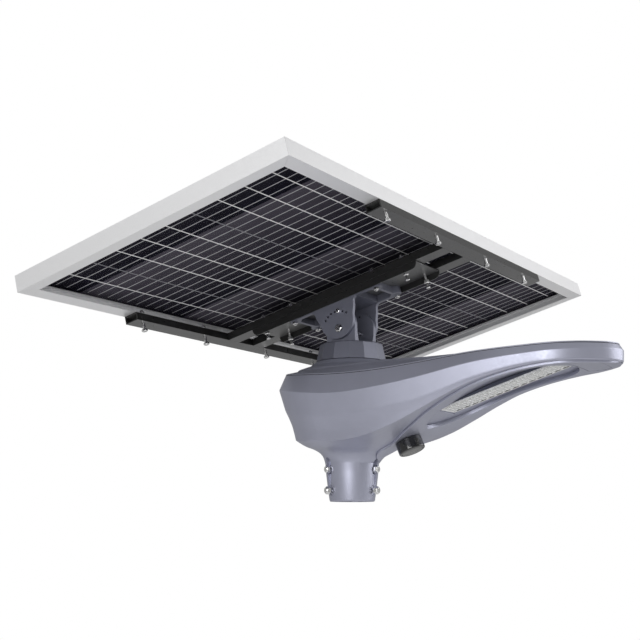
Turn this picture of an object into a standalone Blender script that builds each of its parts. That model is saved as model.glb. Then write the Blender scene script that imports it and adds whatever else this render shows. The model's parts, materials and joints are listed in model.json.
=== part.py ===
"""Solar street lamp: a lamp head clamped on a pole, with a solar panel that swivels and tilts on top.

Metres, +Z up. The origin is the centre of the pole sleeve's bottom rim. +X runs along the lamp's
arm to its tip, and the panel's long side runs along Y. The panel and everything bolted to it hang
on an empty whose Y axis is the tilt axis, so their local X and Z run across and out of the panel.
"""

import math

import bmesh
import bpy
from mathutils import Matrix, Vector

# ---- driving dimensions ------------------------------------------------------------------------
GAP = 0.0003  # clearance between touching pieces

PIVOT_Z = 0.3227  # tilt axis above the sleeve's rim
TILT = math.radians(15.0)
INDEX_RADIUS = 0.033  # index holes, round the tilt axis
INDEX_STEP = math.radians(15.0)
INDEX_COUNT = 7

PANEL_LONG = 1.200
PANEL_SHORT = 0.550
PANEL_DEPTH = 0.030
PANEL_SHIFT = 0.011  # the cross bars face one way, so the panel sits off the bracket's middle
PANEL_BASE = 0.080  # the panel's back flange above the tilt axis
FLANGE = 0.025
FRAME_WALL = 0.002
GLASS_EDGE = 0.0025

CHANNEL_WALL = 0.002
CHANNEL_HEIGHT = 0.0147
RAIL_WIDTH = 0.028
RAIL_LENGTH = 0.674
BAR_WIDTH = 0.035
BAR_LENGTH = 0.4934
BAR_SPACING = 0.085
PLATE_LENGTH = 0.376
PLATE_WIDTH = 0.098
PLATE_WALL = 0.002
PLATE_LIP = 0.012
CORNER_BOLT = (0.160, 0.0417)
LUG_BOLT = (0.0935, 0.0417)
RAIL_BOLT_INSET = 0.0065
RAIL_BOLT_SPACING = (-0.303, -0.119, 0.087, 0.271)
BOLT_RADIUS = 0.003
BOLT_HOLE_RADIUS = 0.0034

CHEEK_OUTER = 0.048
CHEEK_INNER = 0.040
EAR_OUTER = 0.0397
EAR_INNER_BASE = 0.025
EAR_INNER_TOP = 0.0310
TURRET_SIDES = 14
TURRET_BASE_Z = 0.2632
TURRET_TOP_Z = 0.2970
NECK_RADIUS = 0.032

POLE_RADIUS = 0.0385  # bore for a 76 mm pole
BORE_TOP = 0.095
SLEEVE_TOP = 0.070
SLEEVE_RADIUS = 0.0505
SET_BOLT_HEIGHTS = (0.059, 0.020)
SET_BOLT_ANGLES = (0.0, math.radians(120.0), math.radians(240.0))

HULL_POINTS = 60  # points round the lamp head
CAVITY_WALL = 0.0055
COVER_STEP = 0.0045  # how far the underside cover stands proud
POCKET_DEPTH = 0.0080
SEAT_RADIUS = 0.068
SEAT_Z = 0.2622

LENS_LENGTH = 0.2425
LENS_WIDTH = 0.0600
LENS_START = (0.1995, 0.1585)  # X and Z of the lens's lower end, on its outer face
LENS_SLOPE = math.atan2(0.0696, 0.2282)

SENSOR_RADIUS = 0.025
SENSOR_HEIGHT = 0.022
SENSOR_FACE = Vector((0.1286, 0.0, 0.0884))
SENSOR_LEAN = math.radians(23.0)

# Half of the lamp head's outline at its widest level, from the pole's side to the tip.
HALF_PLAN = (
    (0.000, 0.1380), (0.060, 0.1372), (0.120, 0.1345), (0.200, 0.1272), (0.300, 0.1175),
    (0.385, 0.1065), (0.435, 0.0975), (0.475, 0.0765), (0.505, 0.0480), (0.5210, 0.0245),
)
TIP_X = 0.5275
# Heights and insets of the lamp head's levels, each as (X, value) stations.
RIM_Z = (
    (-0.138, 0.2390), (-0.090, 0.2330), (-0.030, 0.2270), (0.045, 0.2242), (0.120, 0.2262),
    (0.200, 0.2335), (0.300, 0.2446), (0.400, 0.2503), (0.530, 0.2545),
)
CREASE_Z = (
    (-0.138, 0.2130), (-0.090, 0.2040), (-0.030, 0.1937), (0.045, 0.1887), (0.120, 0.1946),
    (0.200, 0.2070), (0.300, 0.2267), (0.400, 0.2376), (0.530, 0.2450),
)
MIDDLE_Z = (
    (-0.138, 0.1720), (-0.090, 0.1656), (-0.030, 0.1530), (0.045, 0.1498), (0.120, 0.1570),
    (0.200, 0.1696), (0.300, 0.2010), (0.400, 0.2210), (0.530, 0.2275),
)
FOLD_Z = (
    (-0.138, 0.1260), (-0.090, 0.1178), (-0.030, 0.1086), (0.045, 0.1055), (0.090, 0.1112),
    (0.150, 0.1292), (0.200, 0.1512), (0.250, 0.1750), (0.300, 0.1952), (0.350, 0.2090),
    (0.400, 0.2180), (0.450, 0.2225), (0.530, 0.2240),
)
FOLD_INSET = (
    (-0.138, 0.0310), (0.000, 0.0260), (0.060, 0.0195), (0.120, 0.0138), (0.200, 0.0090),
    (0.300, 0.0060), (0.400, 0.0040), (0.530, 0.0022),
)
RIM_INSET = ((-0.138, 0.0120), (0.100, 0.0110), (0.300, 0.0090), (0.530, 0.0060))
KEEL_Z = (
    (0.050, 0.0700), (0.060, 0.0800), (0.070, 0.0860), (0.120, 0.1100), (0.150, 0.1235),
    (0.200, 0.1490), (0.250, 0.1740), (0.300, 0.1930), (0.350, 0.2070), (0.400, 0.2160),
    (0.450, 0.2215), (0.530, 0.2235),
)
# The pole side of the underside, as (share of the way out from the sleeve, share of the rise).
NECK_CURVE = (
    (0.0, 0.0), (0.053, 0.28), (0.158, 0.48), (0.35, 0.625), (0.574, 0.71), (0.796, 0.846), (1.0, 1.0),
)
COVER_EDGE = (
    (0.057, 0.004), (0.062, 0.017), (0.072, 0.0225), (0.100, 0.0250), (0.135, 0.0500),
    (0.178, 0.0750), (0.203, 0.0860), (0.250, 0.0950), (0.300, 0.0975), (0.350, 0.0955),
    (0.400, 0.0910), (0.450, 0.0800), (0.480, 0.0620), (0.500, 0.0440), (0.514, 0.0280), (0.5215, 0.0100),
)
POCKET_EDGE = (
    (0.162, 0.004), (0.166, 0.0150), (0.173, 0.0270), (0.186, 0.0420), (0.200, 0.0530),
    (0.220, 0.0650), (0.250, 0.0740), (0.300, 0.0800), (0.350, 0.0820), (0.390, 0.0800),
    (0.415, 0.0680), (0.432, 0.0480), (0.442, 0.0250), (0.446, 0.0060),
)
HATCH_START = 0.4495
HATCH_END = 0.4950
HATCH_HALF = 0.0540
# Layers of the top cover: height stations of its step, and its inset from the outline.
LAYER_Z = (
    (-0.138, 0.2470), (-0.050, 0.2435), (0.040, 0.2440), (0.120, 0.2470), (0.200, 0.2465),
    (0.260, 0.2450), (0.330, 0.2490), (0.420, 0.2535), (0.530, 0.2560),
)
LAYER_INSET = ((-0.138, 0.0370), (0.120, 0.0340), (0.300, 0.0280), (0.530, 0.0200))


# ---- small tools -------------------------------------------------------------------------------
def smooth(x, stations):
    """The value at x of a smooth curve through the stations, level beyond its ends."""
    if x <= stations[0][0]:
        return stations[0][1]
    if x >= stations[-1][0]:
        return stations[-1][1]

    def slope(i):
        if i == 0 or i == len(stations) - 1:
            a, b = (0, 1) if i == 0 else (i - 1, i)
        else:
            a, b = i - 1, i + 1
        return (stations[b][1] - stations[a][1]) / (stations[b][0] - stations[a][0])

    for i in range(len(stations) - 1):
        x0, y0 = stations[i]
        x1, y1 = stations[i + 1]
        if x <= x1:
            h = x1 - x0
            t = (x - x0) / h
            return (
                y0 * (1 + 2 * t) * (1 - t) ** 2
                + y1 * t * t * (3 - 2 * t)
                + slope(i) * h * t * (1 - t) ** 2
                - slope(i + 1) * h * t * t * (1 - t)
            )
    return stations[-1][1]


def smoothstep(x, low, high):
    t = min(1.0, max(0.0, (x - low) / (high - low)))
    return t * t * (3 - 2 * t)


def resample(points, count):
    """count points evenly spaced along a closed line through the given points."""
    closed = points + [points[0]]
    lengths = [0.0]
    for a, b in zip(closed, closed[1:]):
        lengths.append(lengths[-1] + (b - a).length)
    result = []
    k = 0
    for i in range(count):
        target = lengths[-1] * i / count
        while lengths[k + 1] < target:
            k += 1
        share = (target - lengths[k]) / (lengths[k + 1] - lengths[k])
        result.append(closed[k].lerp(closed[k + 1], share))
    return result


def material(name, colour, metallic, roughness):
    made = bpy.data.materials.new(name)
    made.use_nodes = True
    shader = made.node_tree.nodes["Principled BSDF"]
    shader.inputs["Base Color"].default_value = (*colour, 1.0)
    shader.inputs["Metallic"].default_value = metallic
    shader.inputs["Roughness"].default_value = roughness
    return made


def place(name, mesh, surface, parent=None, matrix=None, collection=None):
    """Adds the mesh as a named object, shaded smooth except at its sharp edges."""
    obj = bpy.data.objects.new(name, mesh)
    (collection or parts).objects.link(obj)
    obj.parent = parent
    if matrix is not None:
        obj.matrix_local = matrix
    if surface is not None:
        mesh.materials.clear()
        mesh.materials.append(surface)
    mesh.shade_smooth()
    mesh.set_sharp_from_angle(angle=math.radians(32))
    return obj


def mesh_of(name, build):
    """A new mesh from a function that fills a bmesh."""
    bm = bmesh.new()
    build(bm)
    bmesh.ops.remove_doubles(bm, verts=bm.verts, dist=0.000001)
    bmesh.ops.recalc_face_normals(bm, faces=bm.faces)
    mesh = bpy.data.meshes.new(name)
    bm.to_mesh(mesh)
    bm.free()
    return mesh


def add_box(bm, low, high):
    low, high = Vector(low), Vector(high)
    matrix = Matrix.LocRotScale((low + high) / 2, None, high - low)
    bmesh.ops.create_cube(bm, size=1.0, matrix=matrix)


def add_cylinder(bm, radius, start, end, sides=12, end_radius=None):
    """A capped cylinder or cone from start to end."""
    start, end = Vector(start), Vector(end)
    turn = (end - start).to_track_quat("Z", "Y")
    bmesh.ops.create_cone(
        bm,
        cap_ends=True,
        segments=sides,
        radius1=radius,
        radius2=radius if end_radius is None else end_radius,
        depth=(end - start).length,
        matrix=Matrix.LocRotScale((start + end) / 2, turn, None),
    )


def add_loft(bm, loops, closed=False):
    """Joins closed loops of equal length in turn: closed joins the last to the first, else both get a cap."""
    rings = [[bm.verts.new(point) for point in loop] for loop in loops]
    count = len(rings[0])
    for ring, following in zip(rings, rings[1:] + rings[:1] if closed else rings[1:]):
        for i in range(count):
            j = (i + 1) % count
            bm.faces.new((ring[i], ring[j], following[j], following[i]))
    if not closed:
        bm.faces.new(rings[0])
        bm.faces.new(rings[-1])


def loft_mesh(name, loops, closed=False):
    return mesh_of(name, lambda bm: add_loft(bm, loops, closed))


HEX = "hex"
ROUND = "round"


def add_stack(bm, sections, matrix=None):
    """A turned or six-sided stack: (z, radius, kind) from the bottom up. A hex's radius is to a flat."""
    loops = []
    for z, radius, kind in sections:
        loop = []
        for i in range(12):
            r = radius
            if kind == HEX and i % 2:
                r = radius / math.cos(math.radians(30.0))
            a = math.radians(30.0 * i)
            point = Vector((r * math.sin(a), r * math.cos(a), z))
            loop.append(matrix @ point if matrix else point)
        loops.append(loop)
    add_loft(bm, loops)


def stack_mesh(name, sections):
    return mesh_of(name, lambda bm: add_stack(bm, sections))


def box_mesh(name, low, high):
    return mesh_of(name, lambda bm: add_box(bm, low, high))


def ring_of(radius, z, angles):
    return [Vector((radius * math.cos(a), radius * math.sin(a), z)) for a in angles]


def turned_mesh(name, profile, steps=32):
    """A Screw of the (radius, z) profile about Z, applied. The profile runs down its outer side."""
    mesh = bpy.data.meshes.new(name)
    bm = bmesh.new()
    verts = [bm.verts.new((r, 0, z)) for r, z in profile]
    for a, b in zip(verts, verts[1:]):
        bm.edges.new((a, b))
    if profile[0][0] > 0 or profile[-1][0] > 0:
        bm.edges.new((verts[-1], verts[0]))
    bm.to_mesh(mesh)
    bm.free()
    helper = bpy.data.objects.new(name, mesh)
    cutters.objects.link(helper)
    screw = helper.modifiers.new("Screw", "SCREW")
    screw.axis = "Z"
    screw.steps = steps
    screw.render_steps = steps
    screw.use_merge_vertices = True
    screw.merge_threshold = 0.00001
    screw.use_normal_calculate = True
    return applied(helper)


def applied(helper):
    """The helper's evaluated mesh with welded seams; the helper itself is removed."""
    graph = bpy.context.evaluated_depsgraph_get()
    mesh = bpy.data.meshes.new_from_object(helper.evaluated_get(graph))
    name = helper.name
    bpy.data.objects.remove(helper)
    bm = bmesh.new()
    bm.from_mesh(mesh)
    bmesh.ops.remove_doubles(bm, verts=bm.verts, dist=0.000001)
    bmesh.ops.recalc_face_normals(bm, faces=bm.faces)
    bm.to_mesh(mesh)
    bm.free()
    mesh.name = name
    return mesh


def prism_mesh(name, outline, depth):
    """A flat shape from its outline in X and Y, its thickness centred on Z = 0."""

    def build(bm):
        face = bm.faces.new([bm.verts.new((x, y, -depth / 2)) for x, y in outline])
        grown = bmesh.ops.extrude_face_region(bm, geom=[face])["geom"]
        verts = [item for item in grown if isinstance(item, bmesh.types.BMVert)]
        bmesh.ops.translate(bm, verts=verts, vec=(0, 0, depth))

    return mesh_of(name, build)


def cutter(name, mesh, parent=None, matrix=None):
    obj = place(name, mesh, None, parent, matrix, cutters)
    obj.hide_render = True
    obj.display_type = "WIRE"
    return obj


def boolean(obj, other, operation="DIFFERENCE"):
    modifier = obj.modifiers.new(other.name, "BOOLEAN")
    modifier.operation = operation
    modifier.object = other


def arc(centre, radius, start, end, steps):
    """Points along an arc in a plane, its angles in degrees."""
    result = []
    for i in range(steps + 1):
        a = math.radians(start + (end - start) * i / steps)
        result.append((centre[0] + radius * math.cos(a), centre[1] + radius * math.sin(a)))
    return result


ALONG_Y = Matrix.Rotation(math.radians(90.0), 4, "X")  # a prism's Z becomes -Y, its Y becomes Z

# ---- scene, collections and materials ----------------------------------------------------------
for old in list(bpy.data.objects):
    bpy.data.objects.remove(old)
parts = bpy.data.collections.new("solar_street_lamp")
cutters = bpy.data.collections.new("cutters")
bpy.context.scene.collection.children.link(parts)
bpy.context.scene.collection.children.link(cutters)

body_paint = material("body_paint", (0.36, 0.38, 0.47), 0.35, 0.42)
bracket_paint = material("bracket_paint", (0.10, 0.11, 0.15), 0.35, 0.45)
black_steel = material("black_steel", (0.02, 0.02, 0.02), 0.4, 0.45)
anodised = material("anodised_aluminium", (0.75, 0.76, 0.78), 0.9, 0.35)
steel = material("stainless_steel", (0.75, 0.75, 0.75), 1.0, 0.25)
clear_glass = material("clear_glass", (0.85, 0.90, 0.90), 0.0, 0.05)
cell_blue = material("solar_cells", (0.010, 0.012, 0.025), 0.2, 0.25)
black_plastic = material("black_plastic", (0.015, 0.015, 0.017), 0.0, 0.4)
glossy_black = material("glossy_black", (0.006, 0.006, 0.007), 0.0, 0.08)
lens_plastic = material("lens_plastic", (0.82, 0.84, 0.84), 0.0, 0.12)
heat_sink_metal = material("heat_sink_metal", (0.12, 0.12, 0.15), 0.6, 0.4)
circuit_board = material("circuit_board", (0.75, 0.76, 0.74), 0.0, 0.5)
green_board = material("green_board", (0.02, 0.14, 0.06), 0.0, 0.45)
seal_rubber = material("seal_rubber", (0.03, 0.03, 0.03), 0.0, 0.8)
battery_wrap = material("battery_wrap", (0.05, 0.12, 0.35), 0.0, 0.4)

tilt_axis = bpy.data.objects.new("tilt_axis", None)
parts.objects.link(tilt_axis)
tilt_axis.location = (0, 0, PIVOT_Z)
tilt_axis.rotation_euler = (0, -TILT, 0)


# ---- solar panel -------------------------------------------------------------------------------
def frame_section():
    """The frame extrusion's section: X inwards from the outer face, Z up from the back flange."""
    glass_seat = 0.0205
    return (
        (0, 0), (FLANGE, 0), (FLANGE, FRAME_WALL), (FRAME_WALL, FRAME_WALL),
        (FRAME_WALL, glass_seat - FRAME_WALL), (0.010, glass_seat - FRAME_WALL), (0.010, glass_seat),
        (FRAME_WALL, glass_seat), (FRAME_WALL, 0.0282), (0.009, 0.0282), (0.009, PANEL_DEPTH),
        (0, PANEL_DEPTH),
    )


def frame_side(name, half_length, half_width, turn, drilled):
    """One mitred side of the panel frame, made along local Y and turned about the panel's middle."""
    loops = []
    for end in (-1, 1):
        loops.append([
            Vector((half_width - x, end * (half_length - x - GAP / 2), z)) for x, z in frame_section()
        ])
    matrix = Matrix.Translation((0, PANEL_SHIFT, PANEL_BASE)) @ Matrix.Rotation(turn, 4, "Z")
    obj = place(name, loft_mesh(name, loops), anodised, tilt_axis, matrix)
    if drilled:
        boolean(obj, rail_drills)


def panel_sheet(name, low, high, surface):
    half_x = PANEL_SHORT / 2 - GLASS_EDGE
    half_y = PANEL_LONG / 2 - GLASS_EDGE
    mesh = box_mesh(
        name,
        (-half_x, PANEL_SHIFT - half_y, PANEL_BASE + low),
        (half_x, PANEL_SHIFT + half_y, PANEL_BASE + high),
    )
    place(name, mesh, surface, tilt_axis)


def drills(name, spots, low, high, radius=BOLT_HOLE_RADIUS):
    def build(bm):
        for x, y in spots:
            add_cylinder(bm, radius, (x, y, low), (x, y, high))

    return cutter(name, mesh_of(name, build), tilt_axis)


def corners(spot):
    return [(sx * spot[0], sy * spot[1]) for sx in (-1, 1) for sy in (-1, 1)]


HIGH_RAIL_X = PANEL_SHORT / 2
LOW_RAIL_X = -PANEL_SHORT / 2 + RAIL_WIDTH
rail_bolt_spots = [
    (x - RAIL_BOLT_INSET, y) for x in (LOW_RAIL_X, HIGH_RAIL_X) for y in RAIL_BOLT_SPACING
]
rail_drills = drills("rail_drills", rail_bolt_spots, PANEL_BASE - 0.040, PANEL_BASE + 0.010)
plate_drills = drills(
    "plate_drills", corners(CORNER_BOLT) + corners(LUG_BOLT), PANEL_BASE - 0.045, PANEL_BASE + 0.010
)

frame_side("panel_frame_high", PANEL_LONG / 2, PANEL_SHORT / 2, 0.0, True)
frame_side("panel_frame_low", PANEL_LONG / 2, PANEL_SHORT / 2, math.pi, True)
frame_side("panel_frame_near", PANEL_SHORT / 2, PANEL_LONG / 2, -math.pi / 2, False)
frame_side("panel_frame_far", PANEL_SHORT / 2, PANEL_LONG / 2, math.pi / 2, False)
panel_sheet("rear_glass", 0.0208, 0.0228, clear_glass)
panel_sheet("cell_sheet", 0.0231, 0.0241, cell_blue)
panel_sheet("front_glass", 0.0244, 0.0276, clear_glass)


# ---- junction box, behind the lamp head --------------------------------------------------------
JUNCTION_CENTRE = (-0.190, 0.376)
JUNCTION_HALF = (0.032, 0.042)
JUNCTION_TOP = PANEL_BASE + 0.0205
JUNCTION_DEPTH = 0.014


def junction_box():
    cx, cy = JUNCTION_CENTRE
    hx, hy = JUNCTION_HALF
    wall = 0.002
    base = JUNCTION_TOP - JUNCTION_DEPTH
    shell = box_mesh("junction_box", (cx - hx, cy - hy, base), (cx + hx, cy + hy, JUNCTION_TOP))
    box = place("junction_box", shell, black_plastic, tilt_axis)
    hollow = box_mesh(
        "junction_hollow",
        (cx - hx + wall, cy - hy + wall, base - wall),
        (cx + hx - wall, cy + hy - wall, JUNCTION_TOP - wall),
    )
    boolean(box, cutter("junction_hollow", hollow, tilt_axis))
    lid = box_mesh("junction_box_lid", (cx - hx, cy - hy, base - 0.0028), (cx + hx, cy + hy, base - GAP))
    place("junction_box_lid", lid, black_plastic, tilt_axis)

    z = JUNCTION_TOP - JUNCTION_DEPTH / 2
    facing = Matrix.Translation((cx, cy - hy - GAP, z)) @ Matrix.Rotation(math.pi / 2, 4, "X")
    gland = stack_mesh("panel_cable_gland", [
        (0.0, 0.0048, HEX), (0.0050, 0.0048, HEX), (0.0050, 0.0044, ROUND), (0.0100, 0.0044, ROUND),
        (0.0120, 0.0034, ROUND),
    ])
    place("panel_cable_gland", gland, black_plastic, tilt_axis, facing)


junction_box()


# ---- rails, cross bars and plate ---------------------------------------------------------------
def tube_mesh(name, width, length):
    """A square-cornered tube along Y: it fills -X from X = 0 and its top is at Z = 0."""
    w, h, t = width, CHANNEL_HEIGHT, CHANNEL_WALL
    outer = ((0, 0), (-w, 0), (-w, -h), (0, -h))
    inner = ((-t, -t), (t - w, -t), (t - w, t - h), (-t, t - h))
    loops = [
        [Vector((x, end * length / 2, z)) for x, z in section]
        for end, section in ((-1, outer), (1, outer), (1, inner), (-1, inner))
    ]
    return loft_mesh(name, loops, closed=True)


def channel_mesh(name, width, length):
    """A channel along Y: its web's outer face at X = 0, its flanges towards -X, its top at Z = 0."""
    w, h, t = width, CHANNEL_HEIGHT, CHANNEL_WALL
    section = ((0, 0), (0, -h), (-w, -h), (-w, t - h), (-t, t - h), (-t, -t), (-w, -t), (-w, 0))
    mesh = prism_mesh(name, section, length)
    mesh.transform(ALONG_Y)
    return mesh


CHANNEL_TOP = PANEL_BASE - GAP
CHANNEL_BOTTOM = CHANNEL_TOP - CHANNEL_HEIGHT
for side, x in (("low", LOW_RAIL_X), ("high", HIGH_RAIL_X)):
    where = Matrix.Translation((x, PANEL_SHIFT, CHANNEL_TOP))
    mesh = tube_mesh(f"rail_{side}", RAIL_WIDTH, RAIL_LENGTH)
    rail = place(f"rail_{side}", mesh, black_steel, tilt_axis, where)
    boolean(rail, rail_drills)

BAR_MIDDLE_X = (LOW_RAIL_X + HIGH_RAIL_X - RAIL_WIDTH) / 2
for side, y in (("near", PANEL_SHIFT - 0.060), ("far", PANEL_SHIFT - 0.060 + BAR_SPACING)):
    turn = Matrix.Rotation(-math.pi / 2, 4, "Z")
    where = Matrix.Translation((BAR_MIDDLE_X, y, CHANNEL_TOP)) @ turn
    mesh = channel_mesh(f"cross_bar_{side}", BAR_WIDTH, BAR_LENGTH)
    bar = place(f"cross_bar_{side}", mesh, black_steel, tilt_axis, where)
    boolean(bar, plate_drills)


def bracket_plate():
    """The channel-shaped plate under the bars, its bent lips rounded at their ends."""
    top = CHANNEL_BOTTOM - GAP
    half = PLATE_WIDTH / 2
    lip = PLATE_LIP
    t = PLATE_WALL
    section = ((-half, 0), (-half, -t - lip), (t - half, -t - lip), (t - half, -t),
               (half - t, -t), (half - t, -t - lip), (half, -t - lip), (half, 0))
    mesh = prism_mesh("bracket_plate", section, PLATE_LENGTH)
    mesh.transform(Matrix.Rotation(math.pi / 2, 4, "Z") @ ALONG_Y)
    plate = place("bracket_plate", mesh, black_steel, tilt_axis, Matrix.Translation((0, 0, top)))
    boolean(plate, plate_drills)

    end = PLATE_LENGTH / 2
    low = top - t - lip
    for name, s in (("lip_corner_low", -1), ("lip_corner_high", 1)):
        outline = [(s * (end + 0.01), low - 0.01), (s * (end - lip), low - 0.01), (s * (end - lip), low)]
        for i in range(1, 5):
            a = math.radians(22.5 * i)
            outline.append((s * (end - lip + lip * math.sin(a)), low + lip - lip * math.cos(a)))
        outline.append((s * (end + 0.01), low + lip))
        mesh = prism_mesh(name, outline, PLATE_WIDTH + 0.01)
        mesh.transform(ALONG_Y)
        boolean(plate, cutter(name, mesh, tilt_axis))


bracket_plate()


# ---- bolts -------------------------------------------------------------------------------------
NUT_FLAT = 0.0050
SMALL_FLAT = 0.0040  # the rail bolts' upper nuts clear the frame's wall
rail_bolt_mesh = stack_mesh("rail_bolt", [
    (-0.0330, 0.0042, ROUND), (-0.0322, NUT_FLAT, HEX), (-0.0285, NUT_FLAT, HEX),
    (-0.0285, BOLT_RADIUS, ROUND), (FRAME_WALL + GAP, BOLT_RADIUS, ROUND),
    (FRAME_WALL + GAP, SMALL_FLAT, HEX), (0.0062, SMALL_FLAT, HEX), (0.0062, BOLT_RADIUS, ROUND),
    (0.0085, BOLT_RADIUS, ROUND),
])
CAP = ((0.0, 0.0056), (0.0052, 0.0056), (0.0066, 0.0046), (0.0076, 0.0022))


def capped_bolt(name, nut_top, nut_bottom, foot):
    """A bolt with a cap at its top and one hex nut; foot is its lower end, from the bottom up."""
    sections = foot + [
        (nut_bottom, BOLT_RADIUS, ROUND), (nut_bottom, NUT_FLAT, HEX), (nut_top, NUT_FLAT, HEX),
        (nut_top, BOLT_RADIUS, ROUND), (0.0, BOLT_RADIUS, ROUND),
    ]
    sections += [(rise, radius, ROUND) for rise, radius in CAP]
    return stack_mesh(name, sections)


LUG_BOTTOM = -0.0317
WIDE_FOOT = [
    (-0.0434, 0.0036, ROUND), (-0.0428, 0.0042, ROUND), (-0.0402, 0.0042, ROUND),
    (-0.0402, BOLT_RADIUS, ROUND),
]
corner_bolt_mesh = capped_bolt("corner_bolt", -0.0270, -0.0325, WIDE_FOOT)
lug_bolt_mesh = capped_bolt("lug_bolt", LUG_BOTTOM - GAP, -0.0362, [(-0.0386, BOLT_RADIUS, ROUND)])
for i, (x, y) in enumerate(rail_bolt_spots, 1):
    where = Matrix.Translation((x, y, PANEL_BASE)) @ Matrix.Rotation(math.pi / 2, 4, "Z")
    place(f"rail_bolt_{i}", rail_bolt_mesh, steel, tilt_axis, where)
for i, (x, y) in enumerate(corners(CORNER_BOLT), 1):
    where = Matrix.Translation((x, y, PANEL_BASE))
    place(f"corner_bolt_{i}", corner_bolt_mesh, steel, tilt_axis, where)
for i, (x, y) in enumerate(corners(LUG_BOLT), 1):
    where = Matrix.Translation((x, y, PANEL_BASE))
    place(f"lug_bolt_{i}", lug_bolt_mesh, steel, tilt_axis, where)


# ---- tilt bracket ------------------------------------------------------------------------------
BRACKET_TOP = CHANNEL_BOTTOM - GAP - PLATE_WALL - GAP
ARM_BOTTOM = PANEL_BASE + LUG_BOTTOM
ARM_TOP = CHANNEL_BOTTOM - GAP - PLATE_WALL - PLATE_LIP - 0.0007  # just under the plate's lips
FRAME_SIDE = PLATE_WIDTH / 2 - PLATE_WALL - 0.0006  # the casting's top tucks in behind the lips
ARM_REACH = 0.0985


def mirrored(quarter):
    """A closed outline from its upper right quarter, mirrored about both axes."""
    right = quarter + [(x, -y) for x, y in reversed(quarter)]
    return right + [(-x, y) for x, y in reversed(right)]


def cheek_outline():
    """One cheek from the side: a round foot that widens upwards into the two lug arms."""
    right = arc((0, 0.0165), 0.036, -90, 0, 8)
    right += [(0.0415, 0.0310)]
    right += arc((0.0530, 0.0383), 0.0100, 180, 90, 4)
    right += [(ARM_REACH - 0.0012, ARM_BOTTOM), (ARM_REACH - 0.0012, ARM_TOP)]
    left = [(-x, z) for x, z in reversed(right)]
    return right + left[:-1]


def tilt_bracket():
    """A top frame with four lugs and two windows, and a cheek down each side of it."""
    outline = mirrored([(ARM_REACH, FRAME_SIDE), (0.1040, 0.0410), (0.1040, 0.0340), (0.0945, 0.0230)])
    window = [
        (0.0520, 0.0385), (0.0790, 0.0385), (0.0885, 0.0270),
        (0.0885, -0.0270), (0.0790, -0.0385), (0.0520, -0.0385),
    ]
    low = ARM_BOTTOM + GAP
    mesh = prism_mesh("tilt_bracket", outline, BRACKET_TOP - low)
    mesh.transform(Matrix.Translation((0, 0, (BRACKET_TOP + low) / 2)))
    base = place("tilt_bracket", mesh, bracket_paint, tilt_axis)
    depth = CHEEK_OUTER - CHEEK_INNER
    for side, name in ((-1, "cheek_near"), (1, "cheek_far")):
        mesh = prism_mesh(name, cheek_outline(), depth)
        mesh.transform(Matrix.Translation((0, side * (CHEEK_OUTER - depth / 2), 0)) @ ALONG_Y)
        boolean(base, cutter(name, mesh, tilt_axis), "UNION")
    for side, name in ((-1, "window_low"), (1, "window_high")):
        mesh = prism_mesh(name, [(side * x, y) for x, y in window], 0.040)
        mesh.transform(Matrix.Translation((0, 0, ARM_BOTTOM)))
        boolean(base, cutter(name, mesh, tilt_axis))
    boolean(base, plate_drills)

    def index_holes(bm):
        for i in range(INDEX_COUNT):
            a = (i - (INDEX_COUNT - 1) / 2) * INDEX_STEP
            x, z = INDEX_RADIUS * math.sin(a), INDEX_RADIUS * math.cos(a)
            add_cylinder(bm, 0.0023, (x, -0.06, z), (x, 0.06, z), 10)
        seat = CHEEK_OUTER - 0.0035
        bore = [(-0.060, 0.0082, ROUND), (-seat, 0.0082, ROUND), (-seat, 0.0046, ROUND),
                (seat, 0.0046, ROUND), (seat, 0.0082, ROUND), (0.060, 0.0082, ROUND)]
        add_stack(bm, bore, Matrix.Rotation(math.pi / 2, 4, "X"))

    boolean(base, cutter("index_holes", mesh_of("index_holes", index_holes), tilt_axis))


tilt_bracket()


# ---- turret with its two ears ------------------------------------------------------------------
swivel_axis = bpy.data.objects.new("swivel_axis", None)
parts.objects.link(swivel_axis)


def ear_outline():
    """One ear from the side, in X and Z: upright at the foot, rounded over the index bolt."""
    top = arc((0, PIVOT_Z + 0.009), 0.0310, 0, 180, 10)
    return [(-0.031, TURRET_TOP_Z - 0.006), (0.031, TURRET_TOP_Z - 0.006)] + top


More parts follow.
